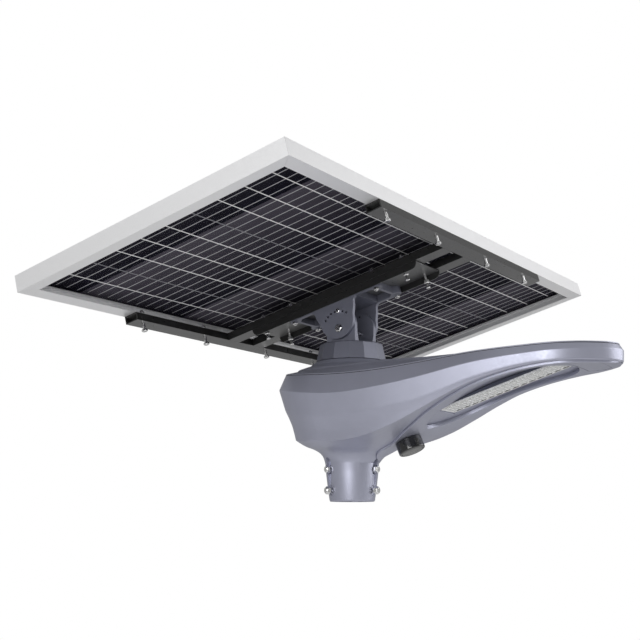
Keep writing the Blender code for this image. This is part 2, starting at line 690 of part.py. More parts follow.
def turret():
    angles = [2 * math.pi * (i + 0.5) / TURRET_SIDES for i in range(TURRET_SIDES)]
    profile = (
        (0.0240, 0.2300), (NECK_RADIUS, 0.2300), (NECK_RADIUS, TURRET_BASE_Z), (0.0678, TURRET_BASE_Z),
        (0.0605, TURRET_TOP_Z - 0.002), (0.0580, TURRET_TOP_Z), (0.0200, TURRET_TOP_Z), (0.0200, 0.2890),
        (0.0240, 0.2890),
    )
    loops = [ring_of(radius, z, angles) for radius, z in profile]
    body = place("turret", loft_mesh("turret", loops, closed=True), bracket_paint, swivel_axis)
    for side, name in ((-1, "ear_near"), (1, "ear_far")):
        mesh = prism_mesh(name, ear_outline(), EAR_OUTER - EAR_INNER_BASE)
        mesh.transform(Matrix.Translation((0, side * (EAR_OUTER + EAR_INNER_BASE) / 2, 0)) @ ALONG_Y)
        boolean(body, cutter(name, mesh, swivel_axis), "UNION")

    wedge = (
        (-EAR_INNER_BASE, TURRET_TOP_Z), (EAR_INNER_BASE, TURRET_TOP_Z), (EAR_INNER_TOP, PIVOT_Z - 0.006),
        (EAR_INNER_TOP, PIVOT_Z + 0.045), (-EAR_INNER_TOP, PIVOT_Z + 0.045), (-EAR_INNER_TOP, PIVOT_Z - 0.006),
    )
    loops = [[Vector((x, y, z)) for y, z in wedge] for x in (-0.04, 0.04)]
    boolean(body, cutter("ear_relief", loft_mesh("ear_relief", loops), swivel_axis))

    def bores(bm):
        for radius, z, sides in ((0.0046, PIVOT_Z, 16), (0.0023, PIVOT_Z + INDEX_RADIUS, 10)):
            add_cylinder(bm, radius, (0, -0.06, z), (0, 0.06, z), sides)

    boolean(body, cutter("ear_bores", mesh_of("ear_bores", bores), swivel_axis))


turret()

for side, sign in (("near", -1), ("far", 1)):
    facing = Matrix.Translation((0, sign * CHEEK_OUTER, PIVOT_Z)) @ Matrix.Rotation(-sign * math.pi / 2, 4, "X")
    pivot_mesh = stack_mesh(f"pivot_bolt_{side}", [
        (-0.0250, 0.0040, ROUND), (-0.0033, 0.0040, ROUND), (-0.0033, 0.0065, HEX), (0.0020, 0.0065, HEX),
        (0.0028, 0.0055, ROUND),
    ])
    place(f"pivot_bolt_{side}", pivot_mesh, steel, swivel_axis, facing)
    slant = INDEX_STEP
    spot = (INDEX_RADIUS * math.sin(slant), sign * CHEEK_OUTER, INDEX_RADIUS * math.cos(slant))
    facing = Matrix.Translation(spot) @ Matrix.Rotation(-sign * math.pi / 2, 4, "X")
    index_mesh = stack_mesh(f"index_bolt_{side}", [
        (-0.0078, 0.0019, ROUND), (GAP, 0.0019, ROUND), (GAP, 0.0040, HEX), (0.0042, 0.0040, HEX),
        (0.0048, 0.0032, ROUND),
    ])
    place(f"index_bolt_{side}", index_mesh, steel, tilt_axis, facing)

retainer = turned_mesh("swivel_retainer", [
    (NECK_RADIUS + 0.0004, 0.2510), (0.0460, 0.2510), (0.0460, 0.2470), (0.0400, 0.2420),
    (NECK_RADIUS + 0.0004, 0.2420),
], 24)
place("swivel_retainer", retainer, steel, swivel_axis)


# ---- lamp head surfaces ------------------------------------------------------------------------
def head_outline():
    """The head's outline at its widest level, evenly spaced from the tip round the pole and back."""
    half = [(TIP_X, 0.0)] + list(reversed(HALF_PLAN))
    back = arc((0, 0), HALF_PLAN[0][1], 90, 270, 24)
    cage = half + back[1:-1] + [(x, -y) for x, y in reversed(half[1:])]
    dense = []
    count = len(cage)
    for i in range(count):
        a, b, c, d = (Vector(cage[(i + k) % count]) for k in (-1, 0, 1, 2))
        bend = 2 * a - 5 * b + 4 * c - d
        twist = 3 * b - a - 3 * c + d
        for s in range(8):
            t = s / 8
            dense.append(0.5 * (2 * b + (c - a) * t + bend * t * t + twist * t ** 3))
    return resample(dense, HULL_POINTS)


OUTLINE = head_outline()


def inward(i):
    along = OUTLINE[(i + 1) % HULL_POINTS] - OUTLINE[i - 1]
    return Vector((-along.y, along.x)).normalized()


def level(inset, height):
    """A closed loop inside the outline; inset and height are functions of X on the outline."""
    loop = []
    for i, point in enumerate(OUTLINE):
        spot = point + inward(i) * inset(point.x)
        loop.append(Vector((spot.x, spot.y, height(point.x))))
    return loop


def fold_inset(x):
    return smooth(x, FOLD_INSET)


FOLD_LOOP = level(fold_inset, lambda x: smooth(x, FOLD_Z))
FRONT_POINTS = sum(1 for point in OUTLINE if point.x > 0)


def sleeve_angle(i):
    """Where point i of the outline meets the sleeve: its own angle behind the pole, evenly in front."""
    if OUTLINE[i].x <= 0:
        return math.atan2(OUTLINE[i].y, OUTLINE[i].x)
    step = i if i <= HULL_POINTS / 2 else i - HULL_POINTS
    return math.pi * step / FRONT_POINTS


ANGLES = [sleeve_angle(i) for i in range(HULL_POINTS)]


def edge_half_width(x):
    """Half width of the underside at x, read off the fold's loop."""
    half = FOLD_LOOP[: HULL_POINTS // 2 + 1]
    for a, b in zip(half, half[1:]):
        if b.x <= x <= a.x:
            share = (a.x - x) / max(a.x - b.x, 1e-9)
            return a.y + (b.y - a.y) * share
    return half[0].y + 0.0005 if x > half[0].x else abs(half[-1].y) + 0.0005


def underside(x, y):
    """Height of the casting's underside, without the raised cover."""
    r = math.hypot(x, y)
    front = smoothstep(x / max(r, 1e-6), -0.25, 0.95)
    out = (r - SLEEVE_RADIUS) / (0.112 - SLEEVE_RADIUS)
    neck = SLEEVE_TOP + (smooth(x, FOLD_Z) - SLEEVE_TOP) * smooth(out, NECK_CURVE)
    near_pole = neck * (1 - front) + (smooth(r, KEEL_Z) + COVER_STEP * smoothstep(r, 0.05, 0.07)) * front
    keel = smooth(x, KEEL_Z) + COVER_STEP
    across = min(1.0, abs(y) / max(edge_half_width(x), 0.02))
    along_arm = keel + (smooth(x, FOLD_Z) - keel) * across * across
    blend = smoothstep(x, 0.030, 0.120)
    return near_pole * (1 - blend) + along_arm * blend


def underside_loop(share, lift=0.0, lowest=0.0):
    """A loop part of the way from the fold to the sleeve, on the underside or lifted above it."""
    loop = []
    for i, point in enumerate(FOLD_LOOP):
        foot = Vector((SLEEVE_RADIUS * math.cos(ANGLES[i]), SLEEVE_RADIUS * math.sin(ANGLES[i])))
        spot = point.xy.lerp(foot, share)
        z = underside(spot.x, spot.y) + lift
        loop.append(Vector((spot.x, spot.y, max(z, lowest))))
    return loop


def between(x, share):
    """Height on the hollow flank, a share of the way down from the middle crease to the fold."""
    return smooth(x, MIDDLE_Z) + (smooth(x, FOLD_Z) - smooth(x, MIDDLE_Z)) * share


# ---- lamp housing ------------------------------------------------------------------------------
CAVITY_FLOOR = 0.104


def rim(x):
    return smooth(x, RIM_Z)


def rim_in(x):
    return smooth(x, RIM_INSET)


def floor_z(x):
    return smooth(x, FOLD_Z) + 0.0150


def shoulder_z(x):
    return max(smooth(x, MIDDLE_Z), floor_z(x) + 0.003)


def lamp_housing():
    """The casting: the cavity from its floor to the rim, the outside down to the sleeve, and the bore."""
    cavity = [
        [Vector((0.046 * math.cos(a), 0.046 * math.sin(a), CAVITY_FLOOR)) for a in ANGLES],
        underside_loop(0.72, 0.0165, CAVITY_FLOOR),
        underside_loop(0.36, 0.0165, CAVITY_FLOOR),
        level(lambda x: fold_inset(x) + 0.0100, floor_z),
        level(lambda x: 0.4 * fold_inset(x) + CAVITY_WALL, shoulder_z),
        level(lambda x: CAVITY_WALL, lambda x: smooth(x, CREASE_Z) + 0.001),
        level(lambda x: rim_in(x) + CAVITY_WALL, rim),
    ]
    outside = [
        level(rim_in, rim),
        level(lambda x: 0.0, lambda x: smooth(x, CREASE_Z)),
        level(lambda x: 0.4 * fold_inset(x), lambda x: smooth(x, MIDDLE_Z)),
        level(lambda x: 0.61 * fold_inset(x), lambda x: between(x, 0.27)),
        level(lambda x: 0.83 * fold_inset(x), lambda x: between(x, 0.60)),
        FOLD_LOOP,
    ]
    outside += [underside_loop(share) for share in (0.03, 0.10, 0.20, 0.34, 0.50, 0.70, 0.86, 0.95)]
    sleeve = [ring_of(SLEEVE_RADIUS, SLEEVE_TOP, ANGLES), ring_of(0.0460, 0.026, ANGLES),
              ring_of(0.0425, 0.003, ANGLES), ring_of(0.0417, 0.0, ANGLES),
              ring_of(POLE_RADIUS, 0.0, ANGLES), ring_of(POLE_RADIUS, BORE_TOP, ANGLES)]
    housing = place("lamp_housing", loft_mesh("lamp_housing", cavity + outside + sleeve), body_paint)
    boolean(housing, cutter("sleeve_grooves", groove_mesh()))
    boolean(housing, cutter("set_bolt_holes", set_bolt_hole_mesh()))
    seat = slab_mesh("cover_seat", COVER_EDGE, GAP, -0.020, 0.0)
    boolean(housing, cutter("cover_seat", seat))
    recess = slab_mesh("pocket_recess", POCKET_EDGE, 0.003, -0.020, POCKET_DEPTH - COVER_STEP)
    boolean(housing, cutter("pocket_recess", recess))
    boolean(housing, cutter("module_recess", module_recess_mesh()))
    boolean(housing, cutter("sensor_socket", sensor_socket_mesh()))


def groove_mesh():
    """Three shallow round-topped flutes down the sleeve, one at each column of set bolts."""
    def build(bm):
        for a in SET_BOLT_ANGLES:
            turn = Matrix.Rotation(a, 4, "Z")
            outline = [(0.0070, -0.010)] + arc((0, 0.0730), 0.0070, 0, 180, 8) + [(-0.0070, -0.010)]
            loops = [[turn @ Vector((x, y, z)) for y, z in outline] for x in (0.0445, 0.0700)]
            add_loft(bm, loops)

    return mesh_of("sleeve_grooves", build)


def set_bolt_matrix(a, z):
    """The frame of a set bolt: its Z runs out of the sleeve."""
    return Matrix.Translation((0, 0, z)) @ Matrix.Rotation(a, 4, "Z") @ Matrix.Rotation(math.pi / 2, 4, "Y")


def set_bolt_hole_mesh():
    """Stepped holes: a clearance hole through the sleeve and a counterbore for the bolt's head."""
    sections = [
        (0.030, 0.0048, ROUND), (0.0425, 0.0048, ROUND), (0.0425, 0.0095, ROUND), (0.080, 0.0095, ROUND),
    ]

    def build(bm):
        for a in SET_BOLT_ANGLES:
            for z in SET_BOLT_HEIGHTS:
                add_stack(bm, sections, set_bolt_matrix(a, z))

    return mesh_of("set_bolt_holes", build)


def half_width(x, stations, grow):
    return max(0.001, smooth(x, stations) + grow)


def slab_mesh(name, stations, grow, low, high, start=None, end=None, cap=None, columns=8):
    """A sheet under the head, from (X, half width) stations, its faces offset from the underside."""
    start = stations[0][0] if start is None else start
    end = stations[-1][0] if end is None else end
    spots = [x for x, _ in stations if start < x < end]
    fine = [start]
    for x in spots + [end]:
        pieces = max(1, round((x - fine[-1]) / 0.022))
        first = fine[-1]
        fine += [first + (x - first) * (k + 1) / pieces for k in range(pieces)]
    loops = []
    for x in fine:
        half = half_width(x, stations, grow)
        if cap is not None:
            half = min(half, cap)
        ys = [half * (2 * k / columns - 1) for k in range(columns + 1)]
        lower = [Vector((x, y, underside(x, y) + low)) for y in ys]
        upper = [Vector((x, y, underside(x, y) + high)) for y in reversed(ys)]
        loops.append(lower + upper)
    return loft_mesh(name, loops)


def along_lens(distance, out):
    """A point of the lens's middle plane: distance up its length, out towards the ground."""
    cos, sin = math.cos(LENS_SLOPE), math.sin(LENS_SLOPE)
    x = LENS_START[0] + distance * cos + out * sin
    return Vector((x, 0, LENS_START[1] + distance * sin - out * cos))


LENS_TURN = Matrix.Rotation(-LENS_SLOPE, 4, "Y")


def lens_box(name, low, high):
    """A box in the lens's own frame: X up its length from its lower end, Z into the head."""
    mesh = box_mesh(name, low, high)
    mesh.transform(Matrix.Translation((LENS_START[0], 0, LENS_START[1])) @ LENS_TURN)
    return mesh


def module_recess_mesh():
    half = LENS_WIDTH / 2 + 0.0010
    return lens_box("module_recess", (-0.0010, -half, -0.030), (LENS_LENGTH + 0.0010, half, 0.0085))


SENSOR_AXIS = Vector((-math.sin(SENSOR_LEAN), 0, math.cos(SENSOR_LEAN)))  # from its face into the head
SENSOR_TURN = SENSOR_AXIS.to_track_quat("Z", "Y").to_matrix().to_4x4()


def sensor_matrix(depth):
    return Matrix.Translation(SENSOR_FACE + SENSOR_AXIS * depth) @ SENSOR_TURN


def sensor_socket_mesh():
    def build(bm):
        add_cylinder(bm, SENSOR_RADIUS + 0.0012, (0, 0, -0.010), (0, 0, SENSOR_HEIGHT + 0.0005), 28)

    mesh = mesh_of("sensor_socket", build)
    mesh.transform(sensor_matrix(0.0))
    return mesh


lamp_housing()


# ---- underside cover and tip hatch -------------------------------------------------------------
cover_mesh = slab_mesh("underside_cover", COVER_EDGE, 0.0, -COVER_STEP, -GAP)
underside_cover = place("underside_cover", cover_mesh, body_paint)
window = slab_mesh("pocket_window", POCKET_EDGE, 0.0, -0.020, 0.004)
boolean(underside_cover, cutter("pocket_window", window))
boolean(underside_cover, cutter("cover_sensor_hole", sensor_socket_mesh()))
hatch_edge = [(x, w - 0.012) for x, w in COVER_EDGE]
opening = slab_mesh(
    "hatch_opening", hatch_edge, GAP, -0.020, 0.004, HATCH_START, HATCH_END + GAP, HATCH_HALF + GAP
)
boolean(underside_cover, cutter("hatch_opening", opening))
hatch = slab_mesh(
    "tip_hatch", hatch_edge, 0.0, -COVER_STEP, -GAP, HATCH_START + GAP, HATCH_END, HATCH_HALF
)
place("tip_hatch", hatch, body_paint)


# ---- lamp module -------------------------------------------------------------------------------
HALF_LENS = LENS_WIDTH / 2
lens = lens_box("led_lens", (0, -HALF_LENS, 0), (LENS_LENGTH, HALF_LENS, 0.0030))
place("led_lens", lens, lens_plastic)
board = lens_box(
    "led_board", (0.0030, 0.003 - HALF_LENS, 0.0033), (LENS_LENGTH - 0.003, HALF_LENS - 0.003, 0.0049)
)
place("led_board", board, circuit_board)


def led_heat_sink():
    """The module's body: flat below, and following the pocket's arched floor where that rises."""
    steps = 10
    lower, upper = [], []
    for k in range(steps + 1):
        distance = LENS_LENGTH * k / steps
        spot = along_lens(distance, -0.0033)
        lower.append((spot.x, spot.z))
        seat = along_lens(distance, -0.0082)
        lowest = min(underside(seat.x, 0), underside(seat.x, HALF_LENS))
        floor = lowest + POCKET_DEPTH - COVER_STEP - 0.0010
        upper.append((seat.x, max(seat.z, floor)))
    mesh = prism_mesh("led_heat_sink", lower + upper[::-1], LENS_WIDTH)
    mesh.transform(ALONG_Y)
    sink = place("led_heat_sink", mesh, heat_sink_metal)
    edge = 0.0025
    tray = lens_box(
        "board_tray", (edge, edge - HALF_LENS, -0.010), (LENS_LENGTH - edge, HALF_LENS - edge, 0.0052)
    )
    boolean(sink, cutter("board_tray", tray))


led_heat_sink()


# ---- motion and light sensor -------------------------------------------------------------------
sensor_body_mesh = turned_mesh("sensor_body", [
    (0.0, SENSOR_HEIGHT), (SENSOR_RADIUS, SENSOR_HEIGHT), (SENSOR_RADIUS, 0.0030), (0.0242, 0.0010),
    (0.0225, 0.0), (0.0205, 0.0), (0.0205, 0.0190), (0.0, 0.0190),
], 32)
place("sensor_body", sensor_body_mesh, glossy_black, None, sensor_matrix(0.0))
sensor_lens_mesh = turned_mesh("sensor_lens", [
    (0.0, 0.0040), (0.0202, 0.0040), (0.0202, 0.0006), (0.0150, -0.0003), (0.0, -0.0010),
], 32)
place("sensor_lens", sensor_lens_mesh, glossy_black, None, sensor_matrix(0.0))
sensor_board_mesh = turned_mesh("sensor_board", [
    (0.0, 0.0150), (0.0180, 0.0150), (0.0180, 0.0134), (0.0, 0.0134),
], 20)
place("sensor_board", sensor_board_mesh, green_board, None, sensor_matrix(0.0))


# ---- top cover and its gasket ------------------------------------------------------------------
def seat_loop(radius, z):
    return ring_of(radius, z, ANGLES)


def layer_in(x):
    return smooth(x, LAYER_INSET)


def layer_z(x):
    return smooth(x, LAYER_Z)


def top_cover():
    """The lid: up its inner side from the swivel's bore to the rim, and back over its outer side."""
    thick = 0.0030
    loops = [
        seat_loop(NECK_RADIUS + 0.0004, SEAT_Z - 0.0090),
        seat_loop(0.0600, SEAT_Z - 0.0090),
        seat_loop(0.0760, 0.2485),
        level(lambda x: layer_in(x) + 0.0040, lambda x: layer_z(x) - thick - 0.0015),
        level(lambda x: rim_in(x) + 0.0085, lambda x: rim(x) + 0.0023),
        level(lambda x: rim_in(x) + 0.0005, lambda x: rim(x) + 0.0010),
        level(lambda x: rim_in(x) + 0.0010, lambda x: rim(x) + 0.0030),
        level(lambda x: layer_in(x) - 0.0040, lambda x: max(layer_z(x) - 0.0042, rim(x) + 0.0036)),
        level(layer_in, layer_z),
        seat_loop(0.0800, 0.2525),
        seat_loop(SEAT_RADIUS + 0.0010, SEAT_Z - 0.0010),
        seat_loop(SEAT_RADIUS - 0.0010, SEAT_Z),
        seat_loop(NECK_RADIUS + 0.0004, SEAT_Z),
    ]
    place("top_cover", loft_mesh("top_cover", loops, closed=True), body_paint)


def gasket():
    """A flat ring between the housing's rim and the cover."""
    corners_in = ((0.0040, 0.0002), (0.0015, 0.0002), (0.0015, 0.0009), (0.0040, 0.0009))
    loops = [
        level(lambda x: rim_in(x) + inset, lambda x: rim(x) + rise) for inset, rise in corners_in
    ]
    place("housing_gasket", loft_mesh("housing_gasket", loops, closed=True), seal_rubber)


top_cover()
gasket()

# ---- battery and charge controller, inside the head --------------------------------------------
place("battery_pack", box_mesh("battery_pack", (-0.062, -0.062, 0.1400), (0.062, 0.062, 0.2050)), battery_wrap)
controller = box_mesh("charge_controller", (0.085, -0.045, 0.1750), (0.175, 0.045, 0.2000))
place("charge_controller", controller, black_plastic)

# ---- set bolts in the sleeve -------------------------------------------------------------------
set_bolt_mesh = stack_mesh("set_bolt", [
    (0.0388, 0.0040, ROUND), (0.0485, 0.0040, ROUND), (0.0485, 0.0065, HEX), (0.0555, 0.0065, HEX),
    (0.0575, 0.0050, ROUND),
])
number = 0
for a in SET_BOLT_ANGLES:
    for z in SET_BOLT_HEIGHTS:
        number += 1
        place(f"set_bolt_{number}", set_bolt_mesh, steel, None, set_bolt_matrix(a, z))
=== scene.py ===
"""The finished look of the solar street lamp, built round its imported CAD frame.

Metres, +Z up, in the CAD's own frame: the origin is the centre of the pole sleeve's bottom rim and
+X runs along the lamp's arm. The lamp head's shells are made again here from the same driving
stations as the CAD, with far more points and with rounded creases, and the lens strip gets its small
lenses. Everything else keeps its CAD mesh, either flat-shaded or under a weld and a small bevel. The
panel's bright lines are added on both faces of its cells. Each material is procedural.
"""

import json
import math

import bmesh
import bpy
from mathutils import Matrix, Vector


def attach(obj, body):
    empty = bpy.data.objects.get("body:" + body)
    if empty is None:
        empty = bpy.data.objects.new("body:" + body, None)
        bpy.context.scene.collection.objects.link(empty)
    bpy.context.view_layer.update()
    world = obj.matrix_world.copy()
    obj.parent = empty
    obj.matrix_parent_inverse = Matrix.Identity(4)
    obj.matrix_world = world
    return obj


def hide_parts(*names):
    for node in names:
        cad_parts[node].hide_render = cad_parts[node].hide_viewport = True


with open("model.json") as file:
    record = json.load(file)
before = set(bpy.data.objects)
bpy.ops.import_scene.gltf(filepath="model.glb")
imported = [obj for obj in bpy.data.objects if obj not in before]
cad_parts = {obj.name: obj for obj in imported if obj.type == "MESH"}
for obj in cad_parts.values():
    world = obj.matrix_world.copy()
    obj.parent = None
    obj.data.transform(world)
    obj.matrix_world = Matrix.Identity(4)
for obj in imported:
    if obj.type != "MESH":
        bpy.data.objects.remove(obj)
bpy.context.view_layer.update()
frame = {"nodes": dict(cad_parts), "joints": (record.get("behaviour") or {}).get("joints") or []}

HEAD = "lamp_head"
PANEL = "panel_assembly"

# ---- driving dimensions, as in the CAD ---------------------------------------------------------
GAP = 0.0003
TILT = math.radians(15.0)
PIVOT_Z = next(joint["pos_m"][2] for joint in frame["joints"] if joint["name"] == "panel_tilt")
PANEL_LONG = 1.200
PANEL_SHORT = 0.550
PANEL_SHIFT = 0.011
PANEL_BASE = 0.080
CELL_BACK = PANEL_BASE + 0.0231
CELL_FRONT = PANEL_BASE + 0.0241
FLANGE = 0.025

NECK_RADIUS = 0.032
POLE_RADIUS = 0.0385
BORE_TOP = 0.095
SLEEVE_TOP = 0.070
SLEEVE_RADIUS = 0.0505
# The sleeve's (radius, Z) profile, down its outside and up its bore.
SLEEVE_PROFILE = (
    (SLEEVE_RADIUS, SLEEVE_TOP), (0.0488, 0.050), (0.0460, 0.026), (0.0427, 0.003),
    (0.0417, 0.0006), (0.0410, 0.0), (POLE_RADIUS + 0.0008, 0.0), (POLE_RADIUS, 0.0008),
    (POLE_RADIUS, BORE_TOP),
)
SET_BOLT_HEIGHTS = (0.059, 0.020)
SET_BOLT_ANGLES = (0.0, math.radians(120.0), math.radians(240.0))
# A set bolt's hole and its counterbore, as (distance from the pole's axis, radius).
SET_BOLT_HOLE = ((0.030, 0.0048), (0.0425, 0.0048), (0.0425, 0.0088), (0.0435, 0.0095), (0.080, 0.0095))
FLUTE_HALF = 0.0070
FLUTE_TOP = 0.0730
FLUTE_FLOOR = 0.0445  # from the pole's axis
FLUTE_FLARE = 1.15

HULL_POINTS = 280
CAVITY_WALL = 0.0055
CAVITY_FLOOR = 0.104
CAVITY_RADIUS = 0.046
COVER_STEP = 0.0045
POCKET_DEPTH = 0.0080
SEAT_RADIUS = 0.068
SEAT_Z = 0.2622
SEAT_UNDER = SEAT_Z - 0.0090

LENS_LENGTH = 0.2425
LENS_WIDTH = 0.0600
LENS_START = (0.1995, 0.1585)
LENS_SLOPE = math.atan2(0.0696, 0.2282)
LENS_COLUMNS = 14
LENS_ROWS = 4
LENS_BORDER = 0.0036
LENS_FACE = 0.0009
LENS_BACK = 0.0030
MODULE_GAP = 0.0010
MODULE_HEIGHT = 0.0085

SENSOR_RADIUS = 0.025
SENSOR_HEIGHT = 0.022
SENSOR_FACE = Vector((0.1286, 0.0, 0.0884))
SENSOR_LEAN = math.radians(23.0)

# Half of the lamp head's outline at its widest level, from the pole's side to the tip.
HALF_PLAN = (
    (0.000, 0.1380), (0.060, 0.1372), (0.120, 0.1345), (0.200, 0.1272), (0.300, 0.1175),
    (0.385, 0.1065), (0.435, 0.0975), (0.475, 0.0765), (0.505, 0.0480), (0.5210, 0.0245),
)
TIP_X = 0.5275
# Heights and insets of the lamp head's levels, each as (X, value) stations.
RIM_Z = (
    (-0.138, 0.2390), (-0.090, 0.2330), (-0.030, 0.2270), (0.045, 0.2242), (0.120, 0.2262),
    (0.200, 0.2335), (0.300, 0.2446), (0.400, 0.2503), (0.530, 0.2545),
)
CREASE_Z = (
    (-0.138, 0.2130), (-0.090, 0.2040), (-0.030, 0.1937), (0.045, 0.1887), (0.120, 0.1946),
    (0.200, 0.2070), (0.300, 0.2267), (0.400, 0.2376), (0.530, 0.2450),
)
MIDDLE_Z = (
    (-0.138, 0.1720), (-0.090, 0.1656), (-0.030, 0.1530), (0.045, 0.1498), (0.120, 0.1570),
    (0.200, 0.1696), (0.300, 0.2010), (0.400, 0.2210), (0.530, 0.2275),
)
FOLD_Z = (
    (-0.138, 0.1260), (-0.090, 0.1178), (-0.030, 0.1086), (0.045, 0.1055), (0.090, 0.1112),
    (0.150, 0.1292), (0.200, 0.1512), (0.250, 0.1750), (0.300, 0.1952), (0.350, 0.2090),
    (0.400, 0.2180), (0.450, 0.2225), (0.530, 0.2240),
)
FOLD_INSET = (
    (-0.138, 0.0310), (0.000, 0.0260), (0.060, 0.0195), (0.120, 0.0138), (0.200, 0.0090),
    (0.300, 0.0060), (0.400, 0.0040), (0.530, 0.0022),
)
RIM_INSET = ((-0.138, 0.0120), (0.100, 0.0110), (0.300, 0.0090), (0.530, 0.0060))
KEEL_Z = (
    (0.050, 0.0700), (0.060, 0.0800), (0.070, 0.0860), (0.120, 0.1100), (0.150, 0.1235),
    (0.200, 0.1490), (0.250, 0.1740), (0.300, 0.1930), (0.350, 0.2070), (0.400, 0.2160),
    (0.450, 0.2215), (0.530, 0.2235),
)
# The pole side of the underside, as (share of the way out from the sleeve, share of the rise).
NECK_CURVE = (
    (0.0, 0.0), (0.053, 0.28), (0.158, 0.48), (0.35, 0.625), (0.574, 0.71), (0.796, 0.846), (1.0, 1.0),
)
NECK_REACH = 0.112
# Where the underside passes from one surface to another: by direction, by radius and by X.
FRONT_BLEND = (-0.25, 0.95)
KEEL_BLEND = (0.05, 0.07)
ARM_BLEND = (0.030, 0.120)
# Half plans of the underside cover's edge and of the lamp pocket's edge, as (X, half width).
COVER_EDGE = (
    (0.057, 0.004), (0.062, 0.017), (0.072, 0.0225), (0.100, 0.0250), (0.135, 0.0500),
    (0.178, 0.0750), (0.203, 0.0860), (0.250, 0.0950), (0.300, 0.0975), (0.350, 0.0955),
    (0.400, 0.0910), (0.450, 0.0800), (0.480, 0.0620), (0.500, 0.0440), (0.514, 0.0280),
    (0.5215, 0.0100),
)
POCKET_EDGE = (
    (0.162, 0.004), (0.166, 0.0150), (0.173, 0.0270), (0.186, 0.0420), (0.200, 0.0530),
    (0.220, 0.0650), (0.250, 0.0740), (0.300, 0.0800), (0.350, 0.0820), (0.390, 0.0800),
    (0.415, 0.0680), (0.432, 0.0480), (0.442, 0.0250), (0.446, 0.0060),
)
HATCH_START = 0.4495
HATCH_END = 0.4950
HATCH_HALF = 0.0540
HATCH_PITCH = 0.0045
HATCH_MARGIN = 0.012
# Layers of the top cover: height stations of its step, and its inset from the outline.
LAYER_Z = (
    (-0.138, 0.2470), (-0.050, 0.2435), (0.040, 0.2440), (0.120, 0.2470), (0.200, 0.2465),
    (0.260, 0.2450), (0.330, 0.2490), (0.420, 0.2535), (0.530, 0.2560),
)
LAYER_INSET = ((-0.138, 0.0370), (0.120, 0.0340), (0.300, 0.0280), (0.530, 0.0200))


# ---- materials ---------------------------------------------------------------------------------
class Paint:
    """A Principled material with short helpers for its noise, colour and bump nodes."""

    def __init__(self, name, colour, metallic, roughness, **sockets):
        self.material = bpy.data.materials.new(name)
        self.material.use_nodes = True
        self.nodes = self.material.node_tree.nodes
        self.links = self.material.node_tree.links
        self.shader = self.nodes["Principled BSDF"]
        self.colour = (*colour, 1.0)
        self.set("Base Color", self.colour)
        self.set("Metallic", metallic)
        self.set("Roughness", roughness)
        for socket, value in sockets.items():
            self.set(socket.replace("_", " "), value)
        coordinates = self.nodes.new("ShaderNodeTexCoord")
        self.place = coordinates.outputs["Object"]
        self.facing = coordinates.outputs["Normal"]

    def set(self, socket, value):
        self.shader.inputs[socket].default_value = value

    def noise(self, scale, detail=3.0, stretch=None):
        """Noise in the object's own space, from 0 to 1; stretch scales each axis."""
        node = self.nodes.new("ShaderNodeTexNoise")
        node.inputs["Scale"].default_value = scale
        node.inputs["Detail"].default_value = detail
        where = self.place
        if stretch:
            mapping = self.nodes.new("ShaderNodeMapping")
            mapping.inputs["Scale"].default_value = stretch
            self.links.new(where, mapping.inputs["Vector"])
            where = mapping.outputs["Vector"]
        self.links.new(where, node.inputs["Vector"])
        return node.outputs["Fac"]

    def spread(self, value, low, high):
        """Maps a value from 0.3..0.7 to low..high."""
        node = self.nodes.new("ShaderNodeMapRange")
        node.inputs["From Min"].default_value = 0.3
        node.inputs["From Max"].default_value = 0.7
        node.inputs["To Min"].default_value = low
        node.inputs["To Max"].default_value = high
        self.links.new(value, node.inputs["Value"])
        return node.outputs["Result"]

    def mix(self, factor, first, second):
        node = self.nodes.new("ShaderNodeMix")
        node.data_type = "RGBA"
        for index, value in ((6, first), (7, second)):
            if isinstance(value, bpy.types.NodeSocket):
                self.links.new(value, node.inputs[index])
            else:
                node.inputs[index].default_value = value
        self.links.new(factor, node.inputs[0])
        return node.outputs[2]

    def tint(self, factor, darker, lighter):
        """Varies the base colour between two multiples of itself."""
        low = tuple(min(1.0, channel * darker) for channel in self.colour[:3]) + (1.0,)
        high = tuple(min(1.0, channel * lighter) for channel in self.colour[:3]) + (1.0,)
        self.links.new(self.mix(factor, low, high), self.shader.inputs["Base Color"])

    def rough(self, factor, low, high):
        self.links.new(self.spread(factor, low, high), self.shader.inputs["Roughness"])

    def bump(self, height, strength, distance):
        node = self.nodes.new("ShaderNodeBump")
        node.inputs["Strength"].default_value = strength
        node.inputs["Distance"].default_value = distance
        self.links.new(height, node.inputs["Height"])
        self.links.new(node.outputs["Normal"], self.shader.inputs["Normal"])


def powder_coat(name, colour, metallic, roughness):
    """Sprayed paint on cast or folded metal: faint clouding and a fine orange peel."""
    paint = Paint(name, colour, metallic, roughness)
    paint.tint(paint.noise(35.0), 0.95, 1.05)
    paint.rough(paint.noise(220.0), roughness - 0.05, roughness + 0.05)
    paint.bump(paint.noise(1400.0, 2.0), 0.10, 0.0002)
    return paint.material


# A face starts to count as looking down at the first normal Z, and counts in full at the second; such
# faces get painted light from below.
LOOKS_DOWN = (-0.6, -0.9)


def underlit_powder_coat(name, colour, below, roughness):
    """Black powder coat on folded steel, with painted light from below: the faces that look down are
    painted paler.
    """
    paint = Paint(name, colour, 0.0, roughness)
    split = paint.nodes.new("ShaderNodeSeparateXYZ")
    paint.links.new(paint.facing, split.inputs["Vector"])
    down = paint.nodes.new("ShaderNodeMapRange")
    down.inputs["From Min"].default_value = LOOKS_DOWN[0]
    down.inputs["From Max"].default_value = LOOKS_DOWN[1]
    paint.links.new(split.outputs["Z"], down.inputs["Value"])
    # Painted light from below: faces that look down are mixed towards the paler colour.
    underlit_tone = paint.mix(down.outputs["Result"], paint.colour, (*below, 1.0))
    paint.links.new(underlit_tone, paint.shader.inputs["Base Color"])
    paint.rough(paint.noise(220.0), roughness - 0.05, roughness + 0.05)
    paint.bump(paint.noise(900.0, 2.0), 0.08, 0.0002)
    return paint.material


